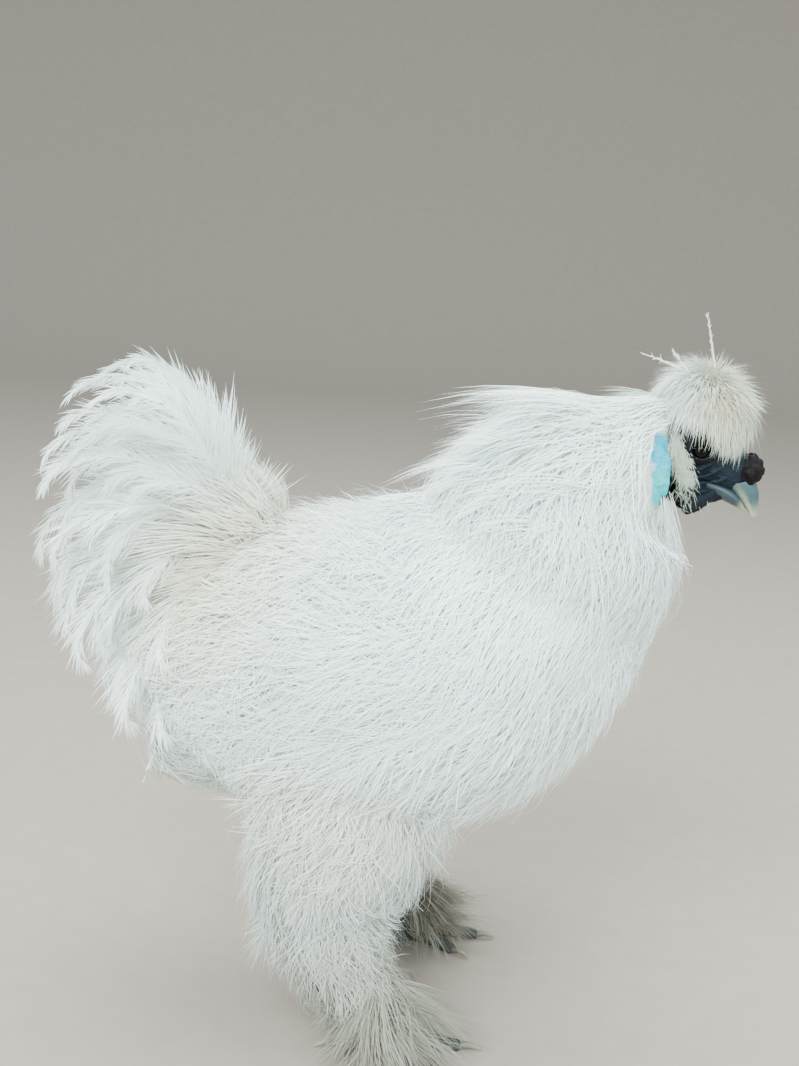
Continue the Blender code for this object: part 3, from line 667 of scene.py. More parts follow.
def trunkCoat():
    look = {"tufts": 1440, "strands": 21, "droop": 0.30, "yaw": 0.46, "mess": 0.28, "high": 0.985,
            "loose": 0.022, "stray": 0.10, "low": 0.84, "fan": 9.0, "bow": 5.5, "wave": 2.8, "patch": 4.6,
            "clump": 0.05, "rise": 1.9, "hold": 0.8, "width": 0.68,
            "lengths": ((-120, -80, -40, 40, 140), (14, 26, 37, 34, 29)),
            "underHackle": ((74, 94, 112, 130), (0, 40, 70, 100)), "cuts": (-62, -8, 46)}
    run, angle = spread(torso, look["tufts"], 0.02, 0.99)
    x = torso.look(run)[:, 0]
    fromTop = np.abs(np.degrees((angle + np.pi) % (2 * np.pi) - np.pi))
    shown = ~(fromTop < np.interp(x, *look["underHackle"]) - 10)
    look["length"] = np.interp(x[shown], *look["lengths"])
    group = coated(*layTufts(torso, run[shown], angle[shown], look))
    layCut("trunk_plumage", "torso", group, look["cuts"])


def hackle():
    look = {"tufts": 590, "strands": 22, "droop": 0.0, "yaw": 0.26, "mess": 0.23, "loose": 0.03,
            "stray": 0.10, "low": 0.74, "fan": 9.0, "bow": 5.5, "wave": 2.5, "patch": 4.0, "clump": 0.15,
            "rise": 2.4, "hold": 0.35, "width": 0.7,
            "lengths": ((0.0, 0.25, 0.6, 1.0), (52, 66, 62, 40)), "cuts": (92,)}
    run, angle = spread(neck, look["tufts"], 0.02, 0.995)
    at = neck.point(run, angle, np.full(run.shape, 0.9))[0]
    covered = ~((at[:, 0] > 120) & (at[:, 2] < 324) & (at[:, 2] > 284))
    run, angle = run[covered], angle[covered]
    behind = 0.5 + 0.5 * np.cos(angle)
    long = np.interp(run / neck.reach, *look["lengths"]) * (1 + 0.12 * behind)
    look["length"] = long * rng.uniform(0.62, 1.25, len(run))
    look["high"] = 0.90 + 0.04 * behind
    paths, out, width, root = layTufts(neck, run, angle, look)
    lain = rng.uniform(0.985, 1.03, len(paths))[:, None] - np.array((0.0, 0.0, 0.045))
    paths = underNape(np.concatenate([paths[:, :1], overBody(paths[:, 1:], lain)], axis=1))
    # nothing crosses the bare face and the earlobes
    dense = np.concatenate([paths, (paths[:, 1:] + paths[:, :-1]) / 2], axis=1)
    clear = ~((np.abs(dense[..., 2] - 305) < 21) & (dense[..., 0] > 123)).any(axis=1)
    group = coated(paths, out, width, root)
    layCut("hackle_plumage", "neck", [a[clear] for a in group], look["cuts"])


def hackleFringe():
    # ragged tips that stand off the neck behind, and end along one slanting edge
    look = {"tufts": 170, "strands": 14, "width": 0.55, "fan": 7.5, "back": 0.93, "sag": 0.26,
            "edge": ((280, 300, 318, 345), (20, 13, 26, 40)), "least": 22, "most": 72}
    run = rng.uniform(0.25, 0.86, look["tufts"]) * neck.reach
    angle = rng.normal(0, 0.75, look["tufts"])
    start = neck.point(run, angle, np.full(run.shape, 0.90))[0]
    tipX = np.interp(start[:, 2], *look["edge"]) + rng.normal(3, 10, len(run))
    tipX = tipX + 30 * np.abs(np.sin(angle)) ** 2
    length = (start[:, 0] - tipX) / look["back"]
    fits = (length > look["least"]) & (length < look["most"])
    start, angle, length, run = start[fits], angle[fits], length[fits], run[fits]
    n, m = len(start), look["strands"]
    lie = unit(np.stack([np.full(n, -look["back"]), 0.22 * np.sin(angle) + rng.normal(0, 0.12, n),
                         rng.normal(0.0, 0.17, n)], axis=-1))
    fan = fanned(n, m, 0.15)
    far = lengths(length, fan, 0.35, 0.10)[..., None, None]
    across = unit(np.cross(lie, (0, 0.3, 1)))
    s = knotRun
    root = start[:, None] + rng.normal(0, 2.0, (n, m, 3))
    paths = (root[:, :, None] + lie[:, None, None] * far * s
             + across[:, None, None] * fan[..., None, None] * look["fan"] * s * (1 - 0.9 * s)
             + np.array((0, 0, -1.0)) * far * look["sag"] * s**2 + rng.normal(0, 1.0, (n, m, 1, 3)) * s)
    paths = underNape(paths.reshape(-1, 4, 3))
    out = np.repeat(unit(start - (90, 0, 260)), m, axis=0)
    root = np.stack([np.repeat(run / neck.reach, m), np.repeat(angle / (2 * np.pi) % 1, m)], axis=-1)
    group = (paths, out, widths(look["width"], n * m), coatTint(paths), jitter(root, 0.004))
    layPiece("hackle_fringe", "neck", [group])


def napeAndThroat():
    # short soft tufts that close the coat behind the crest and under the jaw
    spots = {
        "nape_plumage": {"tufts": 60, "at": (131, 0, 337), "size": (4.0, 11.0, 5.0),
                         "lean": (-0.93, 0.0, 0.02), "length": (26, 38), "sweep": (0.0, 0.0, -0.42)},
        "throat_plumage": {"tufts": 64, "at": (129, 0, 288), "size": (6.0, 14.0, 6.0),
                           "lean": (0.20, 0.0, -0.95), "length": (18, 40), "sweep": (-0.08, 0.0, 0.0)},
    }
    look = {"strands": 18, "width": 0.5, "fan": 6.0, "middle": (118.0, 0.0, 300.0), "cream": 0.05}
    for name, spot in spots.items():
        n, m = spot["tufts"], look["strands"]
        offset = rng.normal(0, 0.6, (n, 3)).clip(-1, 1)
        start = np.array(spot["at"]) + offset * np.array(spot["size"])
        aim = unit(np.array(spot["lean"]) + offset * (0, 0.30, 0) + rng.normal(0, 0.16, (n, 3)))
        fan = fanned(n, m, 0.15)
        s = knotRun
        far = lengths(rng.uniform(*spot["length"], n), fan, 0.3, 0.1)[..., None, None] * s
        paths = (start[:, None, None] + rng.normal(0, 1.5, (n, m, 1, 3)) + aim[:, None, None] * far
                 + np.array((0, 1.0, 0)) * fan[..., None, None] * look["fan"] * s
                 + np.array(spot["sweep"]) * far * s)
        paths = underNape(paths.reshape(-1, 4, 3))
        out = unit(paths - np.array(look["middle"]))
        root = jitter(np.repeat(offset[:, 1:] * 0.4 + 0.5, m, axis=0), 0.004)
        group = coated(paths, out, widths(look["width"], n * m), root, look["cream"])
        layPiece(name, "neck", [group])


def legCoats():
    looks = {
        "thigh": {"rows": thighCoat, "tufts": 216, "ends": (0.06, 0.98), "strands": 21, "length": 30.0,
                  "droop": 0.0, "yaw": 0.40, "mess": 0.25, "high": 0.97, "loose": 0.05, "stray": 0.25,
                  "low": 0.76, "fan": 7.0, "bow": 3.5, "wave": 1.8, "patch": 3.0, "clump": 0.2,
                  "rise": 1.7, "hold": 0.30, "width": 0.56, "cream": 0.05, "floor": None},
        "shank": {"rows": shankCoat, "tufts": 146, "ends": (0.0, 0.92), "strands": 20, "length": 26.0,
                  "droop": 0.0, "yaw": 0.45, "mess": 0.30, "high": 0.94, "loose": 0.07, "stray": 0.35,
                  "low": 0.52, "fan": 6.0, "bow": 3.5, "wave": 1.8, "patch": 2.6, "clump": 0.2,
                  "rise": 1.6, "hold": 0.30, "width": 0.52, "cream": 0.12, "floor": 0.4},
    }
    for side in ("right", "left"):
        for part, look in looks.items():
            loft = Loft(legRows(look["rows"], side))
            run, angle = spread(loft, look["tufts"], *look["ends"])
            group = coated(*layTufts(loft, run, angle, look, 1), look["cream"])
            layPiece(f"{part}_plumage_{side}", f"{part}_{side}", [group], floor=look["floor"])


trunkCoat()
hackle()
hackleFringe()
napeAndThroat()
legCoats()
print("body plumage laid")


# Plumes: a shaft with loose barbs on both sides

def layPlumes(shafts, flat, look):
    # shafts n x dense x 3, flat n x 3 is across the vane's face; gives the barbs and the shafts
    n, dense = shafts.shape[:2]
    m = look["barbs"]
    u = np.clip(np.tile(np.linspace(look["from"], 0.985, m), (n, 1)) + rng.normal(0, 0.006, (n, m)), 0, 1)
    spot = u * (dense - 1)
    i = np.minimum(spot.astype(int), dense - 2)
    part = (spot - i)[..., None]
    rows = np.arange(n)[:, None]

    def atBarb(values):
        return values[rows, i] * (1 - part) + values[rows, i + 1] * part

    base = atBarb(shafts)
    ahead = unit(atBarb(unit(np.gradient(shafts, axis=1))))
    side = unit(np.cross(ahead, flat[:, None]))
    sign = np.where(np.arange(m) % 2 == 0, 1.0, -1.0)[None, :, None]
    length = look["barb"] * np.interp(u, (0, 0.25, 0.6, 1.0), look["profile"])
    length = length * (1 + rng.normal(0, 0.12, (n, m)))
    opening = np.radians(np.interp(u, (0, 1), look["open"]) + rng.normal(0, 5, (n, m)))[..., None]
    lead = ahead * np.cos(opening) + side * sign * np.sin(opening)
    group = rng.normal(0, 1, (n, m // look["group"] + 1, 3)).repeat(look["group"], axis=1)[:, :m]
    loose = (group * 0.15 + rng.normal(0, 0.06, (n, m, 3))) * length[..., None]
    s = knotRun
    far = length[..., None, None]
    paths = (base[:, :, None] + lead[:, :, None] * far * s * (1 - 0.25 * s)
             + ahead[:, :, None] * far * 0.42 * s**2 + loose[:, :, None] * s**1.6
             + np.array((0, 0, -1.0)) * look["sag"] * s**2)
    paths = paths.reshape(-1, 4, 3)
    middle = (np.arange(n) + 0.5) / n
    root = jitter(np.stack([np.repeat(middle, m), u.ravel()], axis=-1), 0.003)
    width = widths(look["width"], n * m, 0.75, 0.5)
    barbs = coated(paths, np.repeat(flat, m, axis=0), width, root)
    spine = shafts[:, np.linspace(0, dense - 1, 6).astype(int)]
    pale = np.tile(np.array((0.93, 0.93, 0.91)), (n, 1))
    root = np.stack([middle, np.full(n, 0.5)], axis=-1)
    return barbs, (spine, flat, np.full(n, look["shaft"]), pale, root)


tailRoot = np.array((-85.0, 0.0, 255.0))
# How far the tail reaches from its root, by the angle up from straight ahead
tailReach = [(63, 49), (90, 48), (101, 69), (113, 94), (123, 113), (136, 114), (154, 103), (173, 101),
             (190, 105), (209, 108), (227, 115), (244, 123), (252, 124)]


def tailShaft(angle, reach, curl, aside, sway):
    # one shaft that leaves the root steeper than it ends; sway is where its sideways wave starts
    turns = np.radians((angle - curl, angle - curl * 1.1, angle - curl * 0.35, angle + 3))
    reaches = (12, reach * 0.62, reach * 1.05, reach)
    s = np.linspace(0, 1, 24)[:, None]
    flat = bezier(s, *(np.array((math.cos(a), 0, math.sin(a))) * far for a, far in zip(turns, reaches)))
    high = np.linalg.norm(flat, axis=1) * math.sin(aside)
    wave = np.sin(s[:, 0] * 3 + sway) * 1.5 * s[:, 0]
    return tailRoot + flat * math.cos(aside) + np.stack([0 * high, high + wave, 0 * high], 1)


def tailPlumage():
    # layers: how far a layer leans to the side, plumes, first and last angle, share of the reach
    look = {"barbs": 130, "from": 0.14, "barb": 23.0, "profile": (0.7, 1.0, 0.62, 0.22), "open": (44, 14),
            "group": 5, "sag": 2.0, "width": 0.55, "shaft": 1.0,
            "layers": ((0, 11, 96, 250, 1.0), (9, 10, 101, 246, 0.98), (-9, 10, 99, 246, 0.98),
                       (18, 9, 102, 242, 0.93), (-18, 9, 105, 240, 0.93), (30, 7, 106, 236, 0.80),
                       (-30, 7, 109, 238, 0.80), (40, 5, 118, 244, 0.7), (-40, 5, 114, 246, 0.7),
                       (3, 5, 66, 94, 0.84), (-24, 4, 222, 252, 0.95), (24, 4, 222, 252, 0.95)),
            "fit": ((92, 101, 110, 120, 130, 140, 195, 215),
                    (0.62, 0.68, 0.77, 0.95, 1.07, 1.05, 1.0, 0.96)),
            "curl": ((60, 90, 112, 140, 190, 250), (2, 5, 13, 40, 38, 12))}
    shafts, flats = [], []
    for lean, count, first, last, share in look["layers"]:
        for i in range(count):
            angle = first + (last - first) * i / (count - 1) + rng.normal(0, 3)
            reach = np.interp(angle, *zip(*tailReach)) * share * rng.uniform(0.84, 1.0)
            reach = reach * np.interp(angle, *look["fit"])
            curl = np.interp(angle, *look["curl"]) * rng.uniform(0.75, 1.25)
            aside = math.radians(lean + rng.normal(0, 3))
            shafts.append(tailShaft(angle, reach, curl, aside, rng.uniform(0, 6)))
            flats.append((rng.normal(0, 0.25), 1, rng.normal(0, 0.25)))
    shafts, flats = np.array(shafts), unit(np.array(flats))
    cut = len(shafts) // 2
    for i, half in enumerate((slice(0, cut), slice(cut, None))):
        barbs, spines = layPlumes(shafts[half], flats[half], look)
        layPiece(f"tail_plumage_{i + 1}", "tail", [barbs])
        layPiece(f"tail_shafts_{i + 1}", "tail", [spines])


def tailCoverts():
    # soft feathers round the tail's root, which hide where the plumes leave the body
    look = {"tufts": 245, "strands": 20, "core": (30.0, 27.0, 34.0), "length": (26, 46), "width": 0.62,
            "fan": 9, "bow": 7, "bend": (-0.28, 0, -0.16), "cream": 0.05}
    m = look["strands"]
    u, v = evenPairs(look["tufts"], (0.5, 0.0))
    z = 1 - 2 * u
    a = 2 * np.pi * v
    d = np.stack([np.sqrt(1 - z**2) * np.cos(a), np.sqrt(1 - z**2) * np.sin(a), z], axis=-1)
    d = d[(d[:, 0] < 0.55) | (d[:, 2] > 0.3)]
    n = len(d)
    root = tailRoot + np.array((2.0, 0, -6.0)) + d * np.array(look["core"]) * 0.8
    lie = unit(d * (0.75, 0.45, 0.75) + np.array((-0.75, 0, 0.16)) + rng.normal(0, 0.20, (n, 3)))
    length = rng.uniform(*look["length"], n)
    across = unit(np.cross(lie, d))
    fan = fanned(n, m, 0.12)
    far = lengths(length, fan, 0.3, 0.1)[..., None, None]
    start = root[:, None] + rng.normal(0, 1.8, (n, m, 3))
    s = knotRun
    paths = (start[:, :, None] + d[:, None, None] * look["bow"] * s * (1 - s) + lie[:, None, None] * far * s
             + across[:, None, None] * fan[..., None, None] * look["fan"] * s**0.8
             + np.array(look["bend"]) * far * s**2 + rng.normal(0, 1.6, (n, m, 1, 3)) * s)
    paths = paths.reshape(-1, 4, 3)
    spot = np.repeat(np.stack([z[:n] * 0.49 + 0.5, (a[:n] / (2 * np.pi)) % 1], axis=-1), m, axis=0)
    width = widths(look["width"], n * m, 0.75, 0.5)
    group = coated(paths, np.repeat(d, m, axis=0), width, spot, look["cream"])
    layPiece("tail_coverts", "tail", [group])


def wingPlumage():
    # tiers: x of the first plume, its angle from the top, plumes, their length, share of the outline
    cover = {"tufts": 105, "strands": 20, "length": 34.0, "droop": 0.42, "yaw": 0.22, "mess": 0.18,
             "high": 1.035, "loose": 0.02, "stray": 0.06, "low": 0.90, "fan": 8.0, "bow": 3.0,
             "wave": 1.4, "patch": 3.0, "clump": 0.25, "rise": 1.8, "hold": 0.4, "width": 0.7}
    flight = {"barbs": 60, "from": 0.1, "barb": 22.0, "profile": (0.8, 1.0, 0.95, 0.6), "open": (38, 16),
              "group": 4, "sag": 0.5, "width": 0.8, "shaft": 1.2, "apart": 12,
              "tiers": ((56, 84, 7, 56, 1.035), (48, 100, 8, 60, 1.02))}

    def runAt(x):
        return np.interp(x, torso.frames[:, 0], torso.run)

    for side, turn in (("right", -1), ("left", 1)):
        u, v = evenPairs(cover["tufts"])
        run = runAt(62 - 88 * u)
        angle = turn * np.radians(60 + 46 * v)
        group = coated(*layTufts(torso, run, angle, cover))
        layPiece(f"wing_coverts_{side}", f"wing_{side}", [group])
        shafts, flats = [], []
        s = np.linspace(0, 1, 16)
        for x0, deg0, count, length, share in flight["tiers"]:
            for j in range(count):
                x1 = x0 - j * flight["apart"] + rng.normal(0, 1.5)
                a0 = turn * math.radians(deg0 + 1.5 * j + rng.normal(0, 1))
                far = length * rng.uniform(0.9, 1.08)
                bend = math.radians(rng.uniform(17, 25))
                shares = 0.95 + (share - 0.95) * rise(s, 2.5) + rng.normal(0, 0.004)
                path, face = torso.point(runAt(x1) - far * s, a0 + turn * bend * s**1.3, shares, 60, 60)
                shafts.append(path)
                flats.append(face[8])
        barbs, spines = layPlumes(np.array(shafts), np.array(flats), flight)
        layPiece(f"wing_flights_{side}", f"wing_{side}", [barbs])
        layPiece(f"wing_shafts_{side}", f"wing_{side}", [spines])


tailPlumage()
tailCoverts()
wingPlumage()
print("tail and wings laid")


# Crest, muffs and foot feathers

def crestPlumage():
    # a puff whose strands rise from the crown and fall all round it; rim is how far down they reach
    look = {"strands": 7800, "crown": (152.0, 0.0, 322.0), "scalp": (13.0, 12.0, 14.0),
            "puff": (153.2, 0.0, 333.5), "reach": 25.0, "shape": (0.98, 0.93, 1.03), "under": 1.2,
            "rim": ((0, 28, 55, 66, 80, 97, 120, 180), (126, 136, 143, 141, 130, 121, 113, 106)),
            "width": 0.5, "base": (0.66, 0.70, 0.63), "cream": (0.62, 0.57, 0.45),
            "brown": (0.50, 0.38, 0.25)}
    n = look["strands"]
    u, v = evenPairs(n)
    phi = 2 * np.pi * u
    away = np.abs((phi + np.pi) % (2 * np.pi) - np.pi)  # 0 forward, pi behind
    rim = np.radians(np.interp(np.degrees(away), *look["rim"]))
    theta = rim * np.sqrt(v)

    def aimed(polar):
        flat = np.sin(polar)
        return np.stack([flat * np.cos(phi), flat * np.sin(phi), np.cos(polar)], axis=-1)

    behind = np.clip((away - 1.9) / 1.0, 0, 1)
    cell = (np.floor(theta * 7) * 100 + np.floor(phi * 3.2 * np.maximum(np.sin(theta), 0.2))).astype(int)
    shift = rng.normal(0, 1, (cell.max() + 1, 3))[cell]
    stand = np.clip(1.15 - theta / rim * 1.1, 0, 1) * rng.uniform(0.35, 1.15, n)
    far = look["reach"] * (0.97 + rng.normal(0, 0.05, n) + 0.03 * shift[:, 0] + 0.13 * stand * rng.random(n))
    far = far * (1 + 0.24 * behind * np.sin(theta))

    def onPuff(polar, share):
        spot = aimed(polar) * (far * share)[:, None] * np.array(look["shape"])
        spot[:, 2] *= np.where(spot[:, 2] < 0, look["under"], 1.0)
        return np.array(look["puff"]) + spot

    start = np.array(look["crown"]) + aimed(theta * 0.62) * np.array(look["scalp"])
    rising = onPuff(np.maximum(theta - 0.95 + 0.45 * stand, 0.0), 0.80 - 0.18 * stand)
    over = onPuff(np.maximum(theta - 0.42 + 0.30 * stand, 0.0), 1.0 - 0.14 * stand)
    end = onPuff(theta, 1.0) + shift * 1.2 + rng.normal(0, 2.1, (n, 3))
    paths = bezier(knotRun[0], *(knot[:, None] for knot in (start, rising, over, end)))
    # cream in front and on top, one tan spot, and white behind where it meets the nape
    base, cream, brown = (np.array(look[key]) for key in ("base", "cream", "brown"))
    tan = near(end, (158, -22, 333), (14, 14, 11)) * 0.7 + near(end, (154, 0, 354), (26, 26, 14)) * 0.4
    rgb = towards(base, cream, tan * 1.2 + 0.25)
    rgb = towards(rgb, brown, near(end, (157, -25, 334), (7, 9, 7)) * 0.45)
    rgb = towards(rgb, white * 0.93, np.clip((146 - end[:, 0]) / 16, 0, 1) * 0.8)
    rgb = rgb * rng.normal(1, 0.03, n)[:, None]
    root = 0.5 + np.stack([theta / 6.4 * np.cos(phi), theta / 6.4 * np.sin(phi)], axis=-1) * 0.98
    group = (paths, unit(end - np.array(look["puff"])), widths(look["width"], n), rgb, root)
    layPiece("crest_plumage", "crest", [group], "cream_feather")


def crestWisps():
    # three stray plumes above the crest: root, bend, tip and width
    look = {"wisps": (((148, -4, 350), (133, -2, 358), (117, 1, 362), 0.9),
                      ((155, -3, 352), (151, -4, 368), (147, -5, 382), 0.9),
                      ((146, -6, 348), (138, -7, 357), (131, -8, 364), 0.6)),
            "barbs": 60, "barb": (1.5, 3.4), "width": 0.26,
            "shaft": (0.80, 0.74, 0.62), "down": (0.84, 0.80, 0.70)}
    m = look["barbs"]
    s = np.linspace(0, 1, 6)[:, None]

    groups = []
    for *knots, wide in look["wisps"]:
        knots = np.array(knots, float)
        groups.append((bezier(s, *knots)[None], np.array([(0.0, -1.0, 0.2)]), np.array([wide]),
                       np.array([look["shaft"]]), np.array([(0.5, 0.5)])))
        u = rng.uniform(0.1, 0.99, m)
        aim = unit(unit(knots[2] - knots[0]) + rng.normal(0, 0.30, (m, 3)))
        barb = aim[:, None] * s * rng.uniform(*look["barb"], m)[:, None, None]
        groups.append((bezier(u[:, None], *knots)[:, None] + barb, np.tile((0.0, -1.0, 0.1), (m, 1)),
                       np.full(m, look["width"]), np.tile(look["down"], (m, 1)), np.stack([u, u], axis=-1)))
    layPiece("crest_wisps", "crest", groups, "cream_feather")


def muffPlumage():
    # the pale down between the earlobe and the eye; rows are a place and the patch's half sizes there
    look = {"strands": 1400, "length": (3.5, 7.5), "width": 0.26, "rgb": (0.50, 0.54, 0.44), "scatter": 0.05,
            "rows": ((133.5, -11.4, 323, 2.5, 3.0), (136.4, -13.4, 319, 4.0, 4.0),
                     (139.0, -14.2, 312.5, 4.0, 4.2), (142.0, -12.8, 306, 3.2, 3.6),
                     (144.0, -11.4, 302, 2.0, 2.4))}
    patch = smooth(look["rows"], 60)
    n = look["strands"]
    for side, turn in (("right", 1.0), ("left", -1.0)):
        row = patch[(rng.random(n) ** 1.1 * 59).astype(int)]
        start = row[:, :3] + np.stack([rng.normal(0, 0.55, n) * row[:, 4], rng.uniform(-0.5, 0.7, n),
                                       rng.normal(0, 1.8, n)], axis=-1)
        # a thin scatter of down below, on the cheek and by the wattle
        few = rng.random(n) < look["scatter"]
        start[few] = np.array((143.0, -11.6, 295.5)) + rng.normal(0, 1, (few.sum(), 3)) * (4.0, 1.2, 5.0)
        aim = unit(np.array((0.05, -0.45, -0.65)) + rng.normal(0, 0.36, (n, 3)))
        length = rng.uniform(*look["length"], n)[:, None, None]
        s = knotRun[0]
        droop = np.array((0.1, 0.5, -0.5)) * length * 0.45 * s**2
        paths = (start[:, None] + aim[:, None] * length * s + droop) * np.array((1, turn, 1))
        rgb = np.array(look["rgb"]) * (rng.normal(1, 0.06, n) * np.where(few, 0.6, 1.0))[:, None]
        root = np.stack([rng.random(n), rng.random(n)], axis=-1)
        group = (paths, np.tile((0.0, -turn, 0.2), (n, 1)), widths(look["width"], n), rgb, root)
        layPiece(f"muff_down_{side}", f"muff_{side}", [group], "cream_feather")


def footPlumage():
    # soft feathers that spill from the shank over the toes and lie out along the floor
    look = {"tufts": 96, "strands": 18, "width": 0.5, "fan": 6.0, "turn": (-75, 175), "high": (6, 40),
            "ahead": ((25, 45, 75, 90), (1.22, 1.05, 1.0, 0.72)), "arch": 10, "floor": 0.4,
            "soil": {"right": 0.12, "left": 0.84}, "lifted": {"right": 2.0, "left": 9.0},
            # both foot colours are painted dark as shade near the floor; the dirty one is also stained brown
            "shadedPale": (0.35, 0.34, 0.28), "shadedDirt": (0.17, 0.135, 0.10)}
    n, m = look["tufts"], look["strands"]
    shadedPale, shadedDirt = np.array(look["shadedPale"]), np.array(look["shadedDirt"])

    def raised(z):
        return np.stack([0 * z, 0 * z, z], axis=-1)

    for side, (x0, y0, outward) in stance.items():
        heading = np.radians(rng.uniform(*look["turn"], n))
        out = np.stack([np.cos(heading), outward * np.sin(heading), np.zeros(n)], axis=-1)
        high = rng.uniform(*look["high"], n)
        ahead = np.interp(np.abs(np.degrees(heading)), *look["ahead"])
        long = np.interp(high, look["high"], (46, 30)) * ahead * rng.uniform(0.6, 1.1, n)
        low = rng.uniform(1, 14, n) + look["lifted"][side] * rng.random(n)
        fan = fanned(n, m, 0.15)
        across = np.cross(out, (0, 0, 1))
        stretch = lengths(np.ones(n), fan, 0.3, 0.12)
        middle = np.array((x0 + 2, y0, 0))
        root = middle + out * 7 + raised(high)
        tip = middle + out * (8 + long)[:, None] + raised(low)
        bend = root + (tip - root) * 0.5 + np.array((0, 0, look["arch"])) + rng.normal(0, 5.5, (n, 3))
        s = knotRun * stretch[..., None, None]
        paths = bezier(s, *(knot[:, None, None] for knot in (root, bend, tip)))
        paths = paths + across[:, None, None] * fan[..., None, None] * look["fan"] * s * (1 - 0.35 * s)
        paths = paths + rng.normal(0, 1.3, (n, m, 1, 3)) + rng.normal(0, 2.8, (n, m, 1, 3)) * s
        paths = paths.reshape(-1, 4, 3)
        soil = np.repeat(look["soil"][side] + rng.normal(0, 0.20, n), m) + rng.normal(0, 0.10, n * m)
        # painted shade near the floor in both colours; soil mixes in the brown dirt
        rgb = towards(shadedPale, shadedDirt, soil)
        spot = np.stack([np.repeat((heading + 1.4) / 4.6, m), np.repeat(high / 42, m)], axis=-1)
        out = np.tile((0.0, 0.0, 1.0), (n * m, 1))
        group = (paths, out, widths(look["width"], n * m), rgb, jitter(spot, 0.01))
        layPiece(f"foot_plumage_{side}", f"foot_{side}", [group], floor=look["floor"])


crestPlumage()
crestWisps()
muffPlumage()
footPlumage()
print("crest, muffs and foot feathers laid")


# Skin, bill, eyes and claws

def ball(centre, radii, across=24, rings=14):
    verts, faces = [(0, 0, 1.0)], []
    for k in range(1, rings):
        tilt = math.pi * k / rings
        for i in range(across):
            a = 2 * math.pi * i / across
            verts.append((math.sin(tilt) * math.cos(a), math.sin(tilt) * math.sin(a), math.cos(tilt)))
    verts.append((0, 0, -1.0))
    last = len(verts) - 1
    for i in range(across):
        n = (i + 1) % across
        faces += [(0, 1 + i, 1 + n), (last, last - across + n, last - across + i)]
        for k in range(rings - 2):
            a, b = 1 + k * across, 1 + (k + 1) * across
            faces.append((a + i, b + i, b + n, a + n))
    return np.array(verts) * np.array(radii) + np.array(centre), faces


def rope(path, radii, sides, rings):
    # a round body along a few points
    rows = [(*p, r, r) for p, r in zip(path, radii)]
    return Loft(rows, side=(0.01, 1, 0.02), fine=60).shell(rings, sides)


def shellRun(rings, sides):
    # how far along its shell each point stands, from 0 to 1
    return np.append(np.repeat(np.linspace(0, 1, rings), sides), (0, 1))


def merged(name, shapes, voxel, smoothing):
    # one closed surface over all the shapes
    verts, faces = [], []
    for v, f in shapes:
        base = sum(len(x) for x in verts)
        verts.append(v)
        faces += [tuple(i + base for i in face) for face in f]
    obj = addMesh(name, np.vstack(verts), faces)
    remesh = obj.modifiers.new("one", "REMESH")
    remesh.mode = "VOXEL"
    remesh.voxel_size = voxel * mm
    relax = obj.modifiers.new("soft", "SMOOTH")
    relax.factor = 0.5
    relax.iterations = smoothing
    return applied(obj)


def joined(body, others):
    # adds the other closed surfaces to the body's own
    tools = bpy.data.collections.new("flesh")
    bpy.context.scene.collection.children.link(tools)
    for part in others:
        bpy.context.scene.collection.objects.unlink(part)
        tools.objects.link(part)
    join = body.modifiers.new("join", "BOOLEAN")
    join.operation = "UNION"
    join.operand_type = "COLLECTION"
    join.collection = tools
    join.solver = "MANIFOLD"
    applied(body)
    for part in others:
        bpy.data.objects.remove(part)
    bpy.data.collections.remove(tools)


def flip(shape):
    verts, faces = shape
    return verts * np.array((1, -1, 1)), [tuple(reversed(f)) for f in faces]


comb = {"at": (176.8, 0.0, 306.2), "size": (8.2, 9.5, 8.6), "bulbs": 26}


def combShape():
    # a walnut comb: one surface swollen into bulbs with furrows between
    verts, faces = ball((0, 0, 0), (1, 1, 1), 64, 40)
    z = np.linspace(0.95, -0.95, comb["bulbs"])
    a = np.arange(comb["bulbs"]) * math.pi * (3 - math.sqrt(5))
    bulbs = np.stack([np.sqrt(1 - z**2) * np.cos(a), np.sqrt(1 - z**2) * np.sin(a), z], axis=-1)
    closest = np.sort(verts @ bulbs.T, axis=1)[:, ::-1]
    swell = np.clip(closest[:, 0], 0, 1) ** 12
    furrow = np.clip((closest[:, 0] - closest[:, 1]) * 9, 0, 1)
    size = (0.88 + 0.12 * swell + 0.05 * furrow)[:, None]
    return verts * np.array(comb["size"]) * size + np.array(comb["at"]), faces


def lobeShape():
    look = {"rows": ((126.8, -14.6, 317.6, 1.6, 1.6), (126.6, -17.6, 315.4, 2.7, 3.6),
                     (126.6, -20.2, 312.0, 3.2, 6.0), (127.0, -21.0, 307, 3.2, 6.2),
                     (128.6, -20.2, 301.5, 2.8, 4.8), (130.6, -18.6, 296.8, 2.0, 3.2),
                     (131.4, -17.0, 293.5, 1.2, 1.8)),
            "middle": (128.5, -14.0, 307.0), "lump": 3.2, "ripple": 0.8}
    verts, faces = Loft(look["rows"], fine=80).shell(30, 28)
    ripple = lumps(verts, look["lump"]) * look["ripple"]
    return verts + unit(verts - np.array(look["middle"])) * ripple[:, None], faces


def wattleShape():
    rows = [(159, -5.0, 295, 3.2, 3.0), (154.5, -6.2, 292, 3.4, 4.4), (150, -7.2, 289, 3.4, 5.2),
            (146.6, -7.8, 285.8, 2.6, 4.0), (144.8, -8.0, 283.2, 1.4, 2.0)]
    return Loft(rows, fine=60).shell(20, 18)


